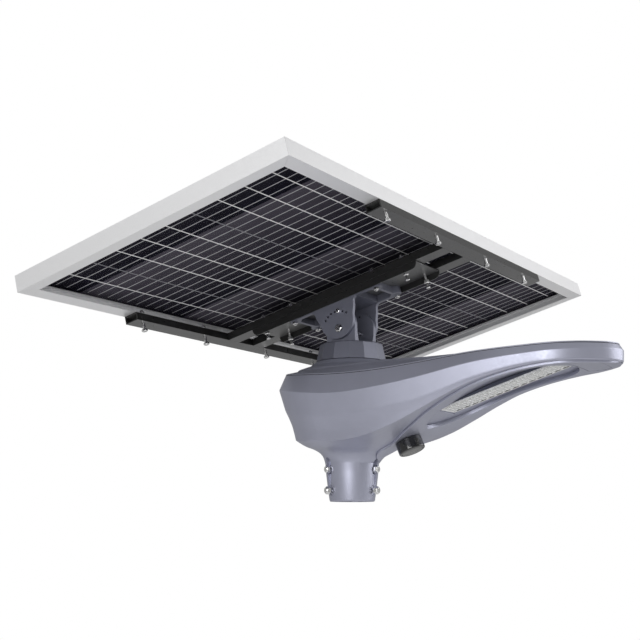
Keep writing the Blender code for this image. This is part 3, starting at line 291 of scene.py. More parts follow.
def brushed(name, colour, roughness, stretch):
    """Bare metal with fine lines along one axis."""
    paint = Paint(name, colour, 1.0, roughness)
    lines = paint.noise(500.0, 4.0, stretch)
    paint.tint(lines, 0.93, 1.05)
    paint.rough(lines, roughness - 0.07, roughness + 0.07)
    paint.bump(lines, 0.08, 0.0001)
    return paint.material


def satin_metal(name, colour, metallic, roughness):
    """Anodised metal: an even, silky finish with a very fine grain."""
    paint = Paint(name, colour, metallic, roughness)
    paint.tint(paint.noise(700.0), 0.95, 1.04)
    paint.rough(paint.noise(300.0), roughness - 0.07, roughness + 0.03)
    paint.bump(paint.noise(2600.0, 1.0), 0.05, 0.0001)
    return paint.material


def moulded(name, colour, roughness):
    """Moulded plastic or rubber with a fine spark grain."""
    paint = Paint(name, colour, 0.0, roughness)
    paint.tint(paint.noise(60.0), 0.90, 1.10)
    paint.rough(paint.noise(300.0), max(0.02, roughness - 0.04), roughness + 0.04)
    paint.bump(paint.noise(2500.0, 1.0), 0.05, 0.0001)
    return paint.material


def polished_plastic(name, colour, roughness):
    """Glossy plastic: only a very faint unevenness in its shine."""
    paint = Paint(name, colour, 0.0, roughness, Coat_Weight=0.6, Coat_Roughness=0.03)
    paint.tint(paint.noise(90.0), 0.90, 1.15)
    paint.rough(paint.noise(160.0), roughness - 0.02, roughness + 0.03)
    return paint.material


def lens_resin(name, colour, roughness, facet):
    """Clear moulded resin whose fine facets break up the light."""
    paint = Paint(name, colour, 0.0, roughness, Coat_Weight=1.0, Coat_Roughness=0.02)
    cells = paint.nodes.new("ShaderNodeTexVoronoi")
    cells.inputs["Scale"].default_value = facet
    paint.links.new(paint.place, cells.inputs["Vector"])
    paint.tint(paint.spread(cells.outputs["Distance"], 0.0, 1.0), 0.70, 1.05)
    paint.bump(cells.outputs["Distance"], 0.8, 0.0015)
    return paint.material


def clear_sheet(name, colour, alpha):
    """Toughened glass, seen mostly through, with a faint unevenness in its shine."""
    paint = Paint(name, colour, 0.0, 0.04, Alpha=alpha, IOR=1.5)
    paint.rough(paint.noise(12.0), 0.03, 0.06)
    return paint.material


# The cells' bands follow the panel's long side, so the material works in the panel's own axes.
BAND_LENGTH = 0.283
BAND_START = -0.445
BAND_FADE = 1.3
BAND_DARK = (0.008, 0.008, 0.014, 1.0)
BAND_PALE = (0.080, 0.074, 0.092, 1.0)


def cell_silicon():
    """Dark cells that shade from charcoal to near black along each band, towards the next."""
    paint = Paint("cell_silicon", (0.012, 0.012, 0.022), 0.0, 0.35, Specular_IOR_Level=0.0)
    nodes, links = paint.nodes, paint.links
    turned = nodes.new("ShaderNodeMapping")
    turned.vector_type = "POINT"
    turned.inputs["Rotation"].default_value = (0, TILT, 0)
    links.new(paint.place, turned.inputs["Vector"])
    split = nodes.new("ShaderNodeSeparateXYZ")
    links.new(turned.outputs["Vector"], split.inputs["Vector"])

    def math_node(operation, first, second=0.0):
        node = nodes.new("ShaderNodeMath")
        node.operation = operation
        for index, value in enumerate((first, second)):
            if isinstance(value, bpy.types.NodeSocket):
                links.new(value, node.inputs[index])
            else:
                node.inputs[index].default_value = value
        return node.outputs["Value"]

    # Four whole bands are added, so that no cell has a negative place along its band.
    along = math_node("SUBTRACT", split.outputs["Y"], BAND_START - 4 * BAND_LENGTH)
    share = math_node("FRACT", math_node("DIVIDE", along, BAND_LENGTH))
    fade = math_node("POWER", math_node("SUBTRACT", 1.0, share), BAND_FADE)
    shade = paint.mix(fade, BAND_DARK, BAND_PALE)
    links.new(shade, paint.shader.inputs["Base Color"])
    paint.rough(paint.noise(40.0), 0.28, 0.38)
    return paint.material


body_paint = powder_coat("body_paint", (0.400, 0.410, 0.500), 0.60, 0.38)
bracket_paint = powder_coat("bracket_paint", (0.190, 0.196, 0.245), 0.50, 0.40)
# Black steel whose down-facing faces are painted paler, as painted light from below.
black_steel = underlit_powder_coat("black_steel", (0.014, 0.014, 0.014), (0.110, 0.110, 0.110), 0.32)
anodised_aluminium = satin_metal("anodised_aluminium", (0.88, 0.88, 0.89), 0.55, 0.45)
stainless_steel = brushed("stainless_steel", (0.86, 0.86, 0.86), 0.12, (1.0, 1.0, 6.0))
lens_plastic = lens_resin("lens_plastic", (0.95, 0.96, 0.96), 0.12, 420.0)
lens_rim = polished_plastic("lens_rim", (0.95, 0.95, 0.94), 0.10)
glossy_black = polished_plastic("glossy_black", (0.008, 0.008, 0.009), 0.07)
sensor_glass = polished_plastic("sensor_glass", (0.030, 0.032, 0.032), 0.14)
black_plastic = moulded("black_plastic", (0.015, 0.015, 0.017), 0.40)
seal_rubber = moulded("seal_rubber", (0.030, 0.030, 0.032), 0.80)
heat_sink_metal = powder_coat("heat_sink_metal", (0.085, 0.090, 0.125), 0.30, 0.42)
circuit_board = moulded("circuit_board", (0.72, 0.73, 0.70), 0.50)
green_board = moulded("green_board", (0.02, 0.14, 0.06), 0.45)
battery_wrap = moulded("battery_wrap", (0.05, 0.12, 0.35), 0.35)
rear_glass_clear = clear_sheet("rear_glass_clear", (0.01, 0.01, 0.02), 0.02)
front_glass_clear = clear_sheet("front_glass_clear", (0.02, 0.02, 0.03), 0.25)
solar_cells = cell_silicon()
ribbon_silver = moulded("ribbon_silver", (0.88, 0.88, 0.88), 0.45)
join_silver = moulded("join_silver", (0.20, 0.20, 0.22), 0.50)
finger_silver = moulded("finger_silver", (0.52, 0.52, 0.54), 0.50)


# ---- small tools -------------------------------------------------------------------------------
def smooth(x, stations):
    """The value at x of a smooth curve through the stations, level beyond its ends."""
    if x <= stations[0][0]:
        return stations[0][1]
    if x >= stations[-1][0]:
        return stations[-1][1]

    def slope(i):
        a = max(0, i - 1)
        b = min(len(stations) - 1, i + 1)
        return (stations[b][1] - stations[a][1]) / (stations[b][0] - stations[a][0])

    i = next(k for k in range(len(stations) - 1) if x <= stations[k + 1][0])
    x0, y0 = stations[i]
    x1, y1 = stations[i + 1]
    h = x1 - x0
    t = (x - x0) / h
    return (
        y0 * (1 + 2 * t) * (1 - t) ** 2
        + y1 * t * t * (3 - 2 * t)
        + slope(i) * h * t * (1 - t) ** 2
        - slope(i + 1) * h * t * t * (1 - t)
    )


def smoothstep(x, low, high):
    t = min(1.0, max(0.0, (x - low) / (high - low)))
    return t * t * (3 - 2 * t)


def resample(points, count):
    """count points evenly spaced along a closed line through the given points."""
    closed = points + [points[0]]
    lengths = [0.0]
    for a, b in zip(closed, closed[1:]):
        lengths.append(lengths[-1] + (b - a).length)
    result = []
    k = 0
    for i in range(count):
        target = lengths[-1] * i / count
        while lengths[k + 1] < target:
            k += 1
        share = (target - lengths[k]) / (lengths[k + 1] - lengths[k])
        result.append(closed[k].lerp(closed[k + 1], share))
    return result


CURVE_STEPS = 8


def curve_through(cage):
    """Points on a smooth closed curve through the cage's points."""
    count = len(cage)
    result = []
    for i in range(count):
        a, b, c, d = (Vector(cage[(i + k) % count]) for k in (-1, 0, 1, 2))
        for s in range(CURVE_STEPS):
            t = s / CURVE_STEPS
            cubic = 2 * b + (c - a) * t + (2 * a - 5 * b + 4 * c - d) * t * t
            result.append(0.5 * (cubic + (3 * b - a - 3 * c + d) * t ** 3))
    return result


def arc(centre, radius, start, end, steps):
    """Points along an arc in a plane, its angles in degrees."""
    result = []
    for i in range(steps + 1):
        a = math.radians(start + (end - start) * i / steps)
        result.append((centre[0] + radius * math.cos(a), centre[1] + radius * math.sin(a)))
    return result


def add_loft(bm, loops, ring=False):
    """Joins loops of equal length one after another; the ends are capped, or joined in a ring."""
    rings = [[bm.verts.new(point) for point in loop] for loop in loops]
    count = len(rings[0])
    following = rings[1:] + rings[:1] if ring else rings[1:]
    for first, second in zip(rings, following):
        for i in range(count):
            j = (i + 1) % count
            bm.faces.new((first[i], first[j], second[j], second[i]))
    if not ring:
        bm.faces.new(rings[0])
        bm.faces.new(rings[-1])


MERGE_DISTANCE = 0.000001


def mesh_of(name, build):
    """A mesh from a function that fills a bmesh, its doubled points merged and its faces turned out."""
    bm = bmesh.new()
    build(bm)
    bmesh.ops.remove_doubles(bm, verts=bm.verts, dist=MERGE_DISTANCE)
    bmesh.ops.dissolve_degenerate(bm, edges=bm.edges, dist=MERGE_DISTANCE / 2)
    bmesh.ops.recalc_face_normals(bm, faces=bm.faces)
    mesh = bpy.data.meshes.new(name)
    bm.to_mesh(mesh)
    bm.free()
    return mesh


def loft_mesh(name, loops, ring=False):
    return mesh_of(name, lambda bm: add_loft(bm, loops, ring))


def eased(loops, widths, ring=False):
    """The loops with some creases rounded: widths gives a crease's half width by its place."""
    result = []
    for k, loop in enumerate(loops):
        width = widths.get(k, 0.0)
        if not width or (not ring and k in (0, len(loops) - 1)):
            result.append(loop)
            continue
        before, after = loops[k - 1], loops[(k + 1) % len(loops)]
        first, middle, last = [], [], []
        for p, q, r in zip(before, loop, after):
            back, on = p - q, r - q
            a = q + back.normalized() * min(width, 0.45 * back.length)
            b = q + on.normalized() * min(width, 0.45 * on.length)
            first.append(a)
            middle.append((a + b) / 4 + q / 2)
            last.append(b)
        result += [first, middle, last]
    return result


def weigh(obj):
    """Keeps wide faces flat in the shading, so that only the narrow ones round the edges bend."""
    modifier = obj.modifiers.new("normals", "WEIGHTED_NORMAL")
    modifier.mode = "FACE_AREA"
    modifier.weight = 100
    modifier.keep_sharp = True


def piece(name, mesh, material, body, replaced=(), sharp=40.0):
    """Adds a finished mesh as a smooth-shaded piece that rides on a body."""
    obj = bpy.data.objects.new(name, mesh)
    bpy.context.scene.collection.objects.link(obj)
    mesh.materials.clear()
    mesh.materials.append(material)
    mesh.shade_smooth()
    mesh.set_sharp_from_angle(angle=math.radians(sharp))
    weigh(obj)
    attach(obj, body)
    if replaced:
        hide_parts(*replaced)


def cut(mesh, *cutter_meshes):
    """The mesh with each cutter taken away, in order."""
    helper = bpy.data.objects.new("cut", mesh)
    bpy.context.scene.collection.objects.link(helper)
    tools = []
    for cutter_mesh in cutter_meshes:
        tool = bpy.data.objects.new("tool", cutter_mesh)
        bpy.context.scene.collection.objects.link(tool)
        modifier = helper.modifiers.new("cut", "BOOLEAN")
        modifier.operation = "DIFFERENCE"
        modifier.object = tool
        tools.append(tool)
    graph = bpy.context.evaluated_depsgraph_get()
    made = bpy.data.meshes.new_from_object(helper.evaluated_get(graph))
    for obj in [helper] + tools:
        bpy.data.objects.remove(obj)
    return made


def ring_of(radius, z, angles):
    """Points of a level circle about Z at the given angles."""
    return [Vector((radius * math.cos(a), radius * math.sin(a), z)) for a in angles]


def turned_loops(profile, steps, place):
    """Loops of a turned solid from its (radius, Z) profile, about the place's own Z."""
    angles = [2 * math.pi * i / steps for i in range(steps)]
    return [[place @ point for point in ring_of(radius, z, angles)] for radius, z in profile]


def turned_mesh(name, profile, place):
    """A closed turned solid; its ends on the axis are kept a hair's breadth open for the caps."""
    off_axis = [(max(radius, 0.00001), z) for radius, z in profile]
    return loft_mesh(name, turned_loops(off_axis, 96, place))


# ---- CAD nodes that keep their mesh ------------------------------------------------------------
def soften(node, material, width, angle=32.0):
    """Gives a CAD node its finish and, with a width, rounds its edges above an angle."""
    obj = frame["nodes"][node]
    obj.data.materials.clear()
    obj.data.materials.append(material)
    if not width:
        obj.data.shade_flat()
        return
    obj.data.shade_smooth()
    weld = obj.modifiers.new("weld", "WELD")
    weld.merge_threshold = 0.00001
    bevel = obj.modifiers.new("bevel", "BEVEL")
    bevel.width = width
    bevel.segments = 2
    bevel.limit_method = "ANGLE"
    bevel.angle_limit = math.radians(angle)
    weigh(obj)


for node in frame["nodes"]:
    if "_bolt_" in node:
        soften(node, stainless_steel, 0.0003)
soften("turret", bracket_paint, 0.0007, 20.0)
soften("tilt_bracket", bracket_paint, 0.0009)
for node in ("rail_low", "rail_high", "cross_bar_near", "cross_bar_far", "bracket_plate"):
    soften(node, black_steel, 0.0)
for side in ("high", "low", "near", "far"):
    soften(f"panel_frame_{side}", anodised_aluminium, 0.0)
for node in ("junction_box", "junction_box_lid", "panel_cable_gland"):
    soften(node, black_plastic, 0.0006)
soften("rear_glass", rear_glass_clear, 0.0)
soften("front_glass", front_glass_clear, 0.0004)
soften("cell_sheet", solar_cells, 0.0)
soften("housing_gasket", seal_rubber, 0.0)
soften("swivel_retainer", stainless_steel, 0.0004)
soften("led_board", circuit_board, 0.0)
soften("led_heat_sink", heat_sink_metal, 0.0005)
soften("sensor_board", green_board, 0.0)
soften("battery_pack", battery_wrap, 0.0020)
soften("charge_controller", black_plastic, 0.0015)


# ---- panel: ribbons on both faces of the cells -------------------------------------------------
PANEL_PLACE = Matrix.Translation((0, 0, PIVOT_Z)) @ Matrix.Rotation(-TILT, 4, "Y")
RIBBON_FIRST = -0.2170
RIBBON_PITCH = 0.0527
RIBBON_COUNT = 9
RIBBON_WIDTH = 0.0022
FAINT_RIBBONS = (1, 5)
FINGER_FIRST = -0.5473
FINGER_PITCH = 0.0258
FINGER_COUNT = 44
FINGER_WIDTH = 0.0019
LINE_GAP = 0.00004
LINE_THICKNESS = 0.00018
FINGER_SUNK = 0.00003  # how much thinner on each face the thin lines are than the ribbons
BACK_LAYER = (CELL_BACK - LINE_GAP - LINE_THICKNESS, CELL_BACK - LINE_GAP)
FRONT_LAYER = (CELL_FRONT + LINE_GAP, CELL_FRONT + LINE_GAP + LINE_THICKNESS)
CELL_EDGE = FLANGE - 0.010  # the lines run on a little way under the frame's lip
HALF_X = PANEL_SHORT / 2 - CELL_EDGE
HALF_Y = PANEL_LONG / 2 - CELL_EDGE


def add_box(bm, low, high, matrix):
    low, high = Vector(low), Vector(high)
    placed = matrix @ Matrix.LocRotScale((low + high) / 2, None, high - low)
    bmesh.ops.create_cube(bm, size=1.0, matrix=placed)


def strips(name, spots, sunk, material):
    """Flat strips, as (X from, Y from, X to, Y to), on the back and the front of the cells."""
    def build(bm):
        for x0, y0, x1, y1 in spots:
            for low, high in (BACK_LAYER, FRONT_LAYER):
                add_box(bm, (x0, y0, low + sunk), (x1, y1, high - sunk), PANEL_PLACE)

    piece(name, mesh_of(name, build), material, PANEL)


def ribbon_spots(faint):
    half = RIBBON_WIDTH / 2
    spots = []
    for i in range(RIBBON_COUNT):
        if (i in FAINT_RIBBONS) == faint:
            x = RIBBON_FIRST + i * RIBBON_PITCH
            spots.append((x - half, PANEL_SHIFT - HALF_Y, x + half, PANEL_SHIFT + HALF_Y))
    return spots


def finger_spots():
    half = FINGER_WIDTH / 2
    middles = [PANEL_SHIFT + FINGER_FIRST + i * FINGER_PITCH for i in range(FINGER_COUNT)]
    return [(-HALF_X, y - half, HALF_X, y + half) for y in middles]


strips("cell_ribbons", ribbon_spots(False), 0.0, ribbon_silver)
strips("cell_joins", ribbon_spots(True), 0.0, join_silver)
strips("cell_fingers", finger_spots(), FINGER_SUNK, finger_silver)


# ---- lamp head surfaces ------------------------------------------------------------------------
def head_outline():
    """The head's outline at its widest level, evenly spaced from the tip round the pole and back."""
    half = [(TIP_X, 0.0)] + list(reversed(HALF_PLAN))
    back = arc((0, 0), HALF_PLAN[0][1], 90, 270, 24)
    cage = half + back[1:-1] + [(x, -y) for x, y in reversed(half[1:])]
    return resample(curve_through(cage), HULL_POINTS)


OUTLINE = head_outline()


def inward(i):
    along = OUTLINE[(i + 1) % HULL_POINTS] - OUTLINE[i - 1]
    return Vector((-along.y, along.x)).normalized()


INWARD = [inward(i) for i in range(HULL_POINTS)]


def level(inset, height):
    """A closed loop inside the outline; inset and height are functions of X on the outline."""
    loop = []
    for point, inner in zip(OUTLINE, INWARD):
        spot = point + inner * inset(point.x)
        loop.append(Vector((spot.x, spot.y, height(point.x))))
    return loop


def fold_inset(x):
    return smooth(x, FOLD_INSET)


def fold_height(x):
    return smooth(x, FOLD_Z)


def rim_height(x):
    return smooth(x, RIM_Z)


def rim_inset(x):
    return smooth(x, RIM_INSET)


FOLD_LOOP = level(fold_inset, fold_height)
FRONT_POINTS = sum(1 for point in OUTLINE if point.x > 0)


def sleeve_angle(i):
    """Where point i of the outline meets the sleeve: its own angle behind the pole, evenly in front."""
    if OUTLINE[i].x <= 0:
        return math.atan2(OUTLINE[i].y, OUTLINE[i].x)
    step = i if i <= HULL_POINTS / 2 else i - HULL_POINTS
    return math.pi * step / FRONT_POINTS


ANGLES = [sleeve_angle(i) for i in range(HULL_POINTS)]


EDGE_MARGIN = 0.0005


def edge_half_width(x):
    """Half width of the underside at x, read off the fold's loop."""
    half = FOLD_LOOP[: HULL_POINTS // 2 + 1]
    for a, b in zip(half, half[1:]):
        if b.x <= x <= a.x:
            share = (a.x - x) / max(a.x - b.x, 1e-9)
            return a.y + (b.y - a.y) * share
    nearest = half[0] if x > half[0].x else half[-1]
    return abs(nearest.y) + EDGE_MARGIN


def underside(x, y):
    """Height of the casting's underside, without the raised cover."""
    r = math.hypot(x, y)
    front = smoothstep(x / max(r, 1e-6), *FRONT_BLEND)
    out = (r - SLEEVE_RADIUS) / (NECK_REACH - SLEEVE_RADIUS)
    neck = SLEEVE_TOP + (fold_height(x) - SLEEVE_TOP) * smooth(out, NECK_CURVE)
    arm_side = smooth(r, KEEL_Z) + COVER_STEP * smoothstep(r, *KEEL_BLEND)
    near_pole = neck * (1 - front) + arm_side * front
    keel = smooth(x, KEEL_Z) + COVER_STEP
    across = min(1.0, abs(y) / max(edge_half_width(x), 0.02))
    along_arm = keel + (fold_height(x) - keel) * across * across
    blend = smoothstep(x, *ARM_BLEND)
    return near_pole * (1 - blend) + along_arm * blend


def underside_loop(share, lift=0.0, lowest=0.0):
    """A loop part of the way from the fold to the sleeve, on the underside or lifted above it."""
    loop = []
    for point, angle in zip(FOLD_LOOP, ANGLES):
        foot = Vector((SLEEVE_RADIUS * math.cos(angle), SLEEVE_RADIUS * math.sin(angle)))
        spot = point.xy.lerp(foot, share)
        z = underside(spot.x, spot.y) + lift
        loop.append(Vector((spot.x, spot.y, max(z, lowest))))
    return loop


def between(x, share):
    """Height on the hollow flank, a share of the way down from the middle crease to the fold."""
    return smooth(x, MIDDLE_Z) + (fold_height(x) - smooth(x, MIDDLE_Z)) * share


# ---- leaf-shaped cover and pocket under the arm ------------------------------------------------
LEAF_POINTS = 220
LEAF_START_BULGE = 0.0020
LEAF_END_BULGE = 0.0015
SPINE_SHARES = (0.002, 0.2, 0.4, 0.6, 0.8)
BELOW = -0.020  # well under the head's surface, for cutters


def leaf_outline(stations, grow=0.0):
    """A closed, evenly spaced plan outline from (X, half width) stations, rounded at both ends."""
    first, last = stations[0], stations[-1]
    start = (first[0] - LEAF_START_BULGE, 0.0)
    end = (last[0] + LEAF_END_BULGE, 0.0)
    half = [start] + list(stations) + [end]
    cage = half + [(x, -y) for x, y in reversed(half[1:-1])]
    points = resample(curve_through(cage), LEAF_POINTS)
    if not grow:
        return points
    grown = []
    for i, point in enumerate(points):
        along = points[(i + 1) % LEAF_POINTS] - points[i - 1]
        grown.append(point + Vector((-along.y, along.x)).normalized() * grow)
    return grown


def on_underside(outline, lift):
    return [Vector((p.x, p.y, underside(p.x, p.y) + lift)) for p in outline]


def towards_spine(outline, share, lift):
    """The outline squeezed towards the head's middle line."""
    return on_underside([Vector((p.x, p.y * share)) for p in outline], lift)


def leaf_plug(name, stations, layers):
    """A solid under the head: its wall runs through (grow, lift) layers and its ends shrink shut."""
    top = leaf_outline(stations, layers[0][0])
    bottom = leaf_outline(stations, layers[-1][0])
    loops = [towards_spine(top, share, layers[0][1]) for share in SPINE_SHARES]
    loops += [on_underside(leaf_outline(stations, grow), lift) for grow, lift in layers]
    loops += [towards_spine(bottom, share, layers[-1][1]) for share in reversed(SPINE_SHARES)]
    return loft_mesh(name, loops)


# ---- lamp module and sensor places -------------------------------------------------------------
LENS_TURN = Matrix.Rotation(-LENS_SLOPE, 4, "Y")
LENS_PLACE = Matrix.Translation((LENS_START[0], 0, LENS_START[1])) @ LENS_TURN
SENSOR_AXIS = Vector((-math.sin(SENSOR_LEAN), 0, math.cos(SENSOR_LEAN)))
SENSOR_TURN = SENSOR_AXIS.to_track_quat("Z", "Y").to_matrix().to_4x4()
SENSOR_PLACE = Matrix.Translation(SENSOR_FACE) @ SENSOR_TURN


def module_recess():
    half = LENS_WIDTH / 2 + MODULE_GAP
    low = (-MODULE_GAP, -half, -0.030)
    high = (LENS_LENGTH + MODULE_GAP, half, MODULE_HEIGHT)
    return mesh_of("module_recess", lambda bm: add_box(bm, low, high, LENS_PLACE))


def sensor_socket():
    """The hole for the sensor, opening into a shallow scoop in the cover round it."""
    top = SENSOR_HEIGHT + 0.0005
    clear = SENSOR_RADIUS + 0.0012
    hole = [(0.0, top), (clear, top), (clear, 0.0175)]
    scoop = [(0.0300, 0.0165), (0.0345, 0.0120), (0.0390, 0.0), (0.0, 0.0)]
    return turned_mesh("sensor_socket", hole + scoop, SENSOR_PLACE)


# ---- lamp housing ------------------------------------------------------------------------------
CAVITY_LIFT = 0.0165
# Half widths of the outside's rounded creases, by their place in its list of loops.
HOUSING_WIDTHS = {1: 0.0008, 2: 0.0014, 3: 0.0035, 4: 0.0040, 5: 0.0040, 6: 0.0010}
# Loops of the underside, as shares of the way from the fold to the sleeve.
UNDERSIDE_SHARES = (
    0.06, 0.10, 0.15, 0.20, 0.27, 0.34, 0.42, 0.50, 0.60, 0.70, 0.78, 0.86, 0.91, 0.95, 0.98,
)


def housing_loops():
    """Loops from the cavity's floor up over the rim, down the outside and up the pole's bore."""
    def floor_height(x):
        return fold_height(x) + 0.0150

    def flank(inset_share, height_share):
        return level(lambda x: inset_share * fold_inset(x), lambda x: between(x, height_share))

    cavity = [
        ring_of(CAVITY_RADIUS, CAVITY_FLOOR, ANGLES),
        underside_loop(0.72, CAVITY_LIFT, CAVITY_FLOOR),
        underside_loop(0.36, CAVITY_LIFT, CAVITY_FLOOR),
        level(lambda x: fold_inset(x) + 0.0100, floor_height),
        level(
            lambda x: 0.4 * fold_inset(x) + CAVITY_WALL,
            lambda x: max(smooth(x, MIDDLE_Z), floor_height(x) + 0.003),
        ),
        level(lambda x: CAVITY_WALL, lambda x: smooth(x, CREASE_Z) + 0.001),
        level(lambda x: rim_inset(x) + CAVITY_WALL, rim_height),
    ]
    creased = [
        cavity[-1],
        level(rim_inset, rim_height),
        level(lambda x: 0.0, lambda x: smooth(x, CREASE_Z)),
        flank(0.4, 0.0),
        flank(0.61, 0.27),
        flank(0.83, 0.60),
        FOLD_LOOP,
        underside_loop(0.03),
    ]
    outside = eased(creased, HOUSING_WIDTHS)
    outside += [underside_loop(share) for share in UNDERSIDE_SHARES]
    sleeve = [ring_of(radius, z, ANGLES) for radius, z in SLEEVE_PROFILE]
    return cavity[:-1] + outside + sleeve


def set_bolt_place(a, z):
    """The frame of a set bolt: its Z runs out of the sleeve."""
    turn = Matrix.Rotation(a, 4, "Z") @ Matrix.Rotation(math.pi / 2, 4, "Y")
    return Matrix.Translation((0, 0, z)) @ turn


def grooves():
    """Three shallow round-topped flutes down the sleeve, one at each column of set bolts."""
    top = arc((0, FLUTE_TOP), FLUTE_HALF, 0, 180, 20)
    outline = [(FLUTE_HALF, -0.010)] + top + [(-FLUTE_HALF, -0.010)]
    wide = [(y * FLUTE_FLARE, z + (0.0008 if z > 0 else 0.0)) for y, z in outline]

    def build(bm):
        for a in SET_BOLT_ANGLES:
            turn = Matrix.Rotation(a, 4, "Z")
            loops = [[turn @ Vector((FLUTE_FLOOR, y, z)) for y, z in outline]]
            loops += [[turn @ Vector((x, y, z)) for y, z in wide] for x in (0.0520, 0.0700)]
            add_loft(bm, loops)

    return mesh_of("grooves", build)


def set_bolt_holes():
    profile = [(radius, out) for out, radius in SET_BOLT_HOLE]

    def build(bm):
        for a in SET_BOLT_ANGLES:
            for z in SET_BOLT_HEIGHTS:
                add_loft(bm, turned_loops(profile, 40, set_bolt_place(a, z)))

    return mesh_of("set_bolt_holes", build)


POCKET_FLOOR = POCKET_DEPTH - COVER_STEP
pocket_layers = [(0.0, POCKET_FLOOR), (0.0030, POCKET_FLOOR), (0.0030, BELOW)]
housing_mesh = cut(
    loft_mesh("housing_casting", housing_loops()),
    grooves(),
    set_bolt_holes(),
    leaf_plug("cover_seat", COVER_EDGE, [(GAP, 0.0), (GAP, BELOW)]),
    leaf_plug("pocket_recess", POCKET_EDGE, pocket_layers),
    module_recess(),
    sensor_socket(),
)
piece("housing_casting", housing_mesh, body_paint, HEAD, ["lamp_housing"], 30.0)


# ---- underside cover, with its window over the pocket, and the tip hatch ------------------------
def cover_plan(share, grow_out=0.0, grow_in=0.0):
    """A loop part of the way from the pocket's edge to the cover's outer edge."""
    inner = leaf_outline(POCKET_EDGE, grow_in)
    outer = leaf_outline(COVER_EDGE, grow_out)
    return [a.lerp(b, share) for a, b in zip(inner, outer)]


WINDOW_CHAMFER = 0.0006


def cover_loops():
    """Loops down the window's wall, across the face, up the outer wall and back over the top."""
    proud = -COVER_STEP
    inner_wall = [
        on_underside(cover_plan(0.0), -GAP),
        on_underside(cover_plan(0.0), proud + WINDOW_CHAMFER),
        on_underside(cover_plan(0.0, 0.0, WINDOW_CHAMFER), proud),
    ]
    face = [on_underside(cover_plan(share), proud) for share in (0.12, 0.25, 0.4, 0.55, 0.7, 0.85)]
    outer_wall = [
        on_underside(cover_plan(1.0, -0.0012), proud),
        on_underside(cover_plan(1.0, -0.0004), proud + 0.0007),
        on_underside(cover_plan(1.0), -GAP),
    ]
    back = [on_underside(cover_plan(share), -GAP) for share in (0.75, 0.5, 0.25)]
    return inner_wall + face + outer_wall + back


def hatch_stations(grow):
    """The hatch's (X, half width) stations, narrowed where the cover's edge comes close."""
    count = int((HATCH_END - HATCH_START) / HATCH_PITCH) + 1
    xs = [HATCH_START + HATCH_PITCH * k for k in range(count)]
    return [(x, min(HATCH_HALF, smooth(x, COVER_EDGE) - HATCH_MARGIN) + grow) for x in xs]


HATCH_COLUMNS = 40
HATCH_SEAM = 0.0010


def hatch_mesh(name, grow, low, high):
    """A slab in the shape of the small plate near the tip, between two heights off the underside."""
    stations = hatch_stations(grow)
    loops = []
    for k, (x, half) in enumerate(stations):
        if k == 0:
            x -= grow
        if k == len(stations) - 1:
            x += grow
        ys = [half * (2 * c / HATCH_COLUMNS - 1) for c in range(HATCH_COLUMNS + 1)]
        lower = [Vector((x, y, underside(x, y) + low)) for y in ys]
        upper = [Vector((x, y, underside(x, y) + high)) for y in reversed(ys)]
        loops.append(lower + upper)
    return loft_mesh(name, loops)


cover_mesh = cut(
    loft_mesh("underside_shell", cover_loops(), ring=True),
    hatch_mesh("hatch_opening", HATCH_SEAM, BELOW, 0.004),
    sensor_socket(),
)
piece("underside_shell", cover_mesh, body_paint, HEAD, ["underside_cover"], 35.0)
seal = hatch_mesh("hatch_seal", HATCH_SEAM - 0.0001, 0.0010 - COVER_STEP, -0.0001)
piece("hatch_seal", seal, seal_rubber, HEAD, sharp=35.0)
hatch = hatch_mesh("tip_hatch_plate", 0.0, -COVER_STEP + 0.0001, 0.0009 - COVER_STEP)
piece("tip_hatch_plate", hatch, body_paint, HEAD, ["tip_hatch"], 35.0)


# ---- top cover ---------------------------------------------------------------------------------
# Half widths of the top cover's rounded creases, by their place in its list of loops.
TOP_WIDTHS = {5: 0.0004, 6: 0.0008, 7: 0.0010, 8: 0.0010, 9: 0.0040}


def top_cover_loops():
    """Loops out along the cover's underside, round its rim, and in over its step to the seat."""
    def layer_inset(x):
        return smooth(x, LAYER_INSET)

    def layer_height(x):
        return smooth(x, LAYER_Z)

    def seat(radius, z):
        return ring_of(radius, z, ANGLES)

    return [
        seat(NECK_RADIUS + 0.0004, SEAT_UNDER),
        seat(0.0600, SEAT_UNDER),
        seat(0.0760, 0.2485),
        level(lambda x: layer_inset(x) + 0.0040, lambda x: layer_height(x) - 0.0045),
        level(lambda x: rim_inset(x) + 0.0085, lambda x: rim_height(x) + 0.0023),
        level(lambda x: rim_inset(x) + 0.0005, lambda x: rim_height(x) + 0.0010),
        level(lambda x: rim_inset(x) + 0.0010, lambda x: rim_height(x) + 0.0030),
        level(
            lambda x: layer_inset(x) - 0.0040,
            lambda x: max(layer_height(x) - 0.0042, rim_height(x) + 0.0036),
        ),
        level(layer_inset, layer_height),
        seat(0.0800, 0.2525),
        seat(SEAT_RADIUS + 0.0010, SEAT_Z - 0.0010),
        seat(SEAT_RADIUS - 0.0010, SEAT_Z),
        seat(NECK_RADIUS + 0.0004, SEAT_Z),
    ]


top_mesh = loft_mesh("top_shell", eased(top_cover_loops(), TOP_WIDTHS, ring=True), ring=True)
piece("top_shell", top_mesh, body_paint, HEAD, ["top_cover"], 35.0)


# ---- lens strip --------------------------------------------------------------------------------
LENS_MARGIN = (0.004, 0.002)  # bare face between the rim and the field of lenses, both sides together
LENS_SHIFT = 0.24  # each cell holds two lenses, this share of its length either side of its middle
LENS_RADII = (0.22, 0.44)  # shares of the cell's length and width
LENS_BULGE = 0.0009
SLOT_HALF = 0.0056
SLOT_WIDTH = 0.0026


def lens_plate(bm):
    half = LENS_WIDTH / 2
    add_box(bm, (0, -half, LENS_FACE), (LENS_LENGTH, half, LENS_BACK), LENS_PLACE)


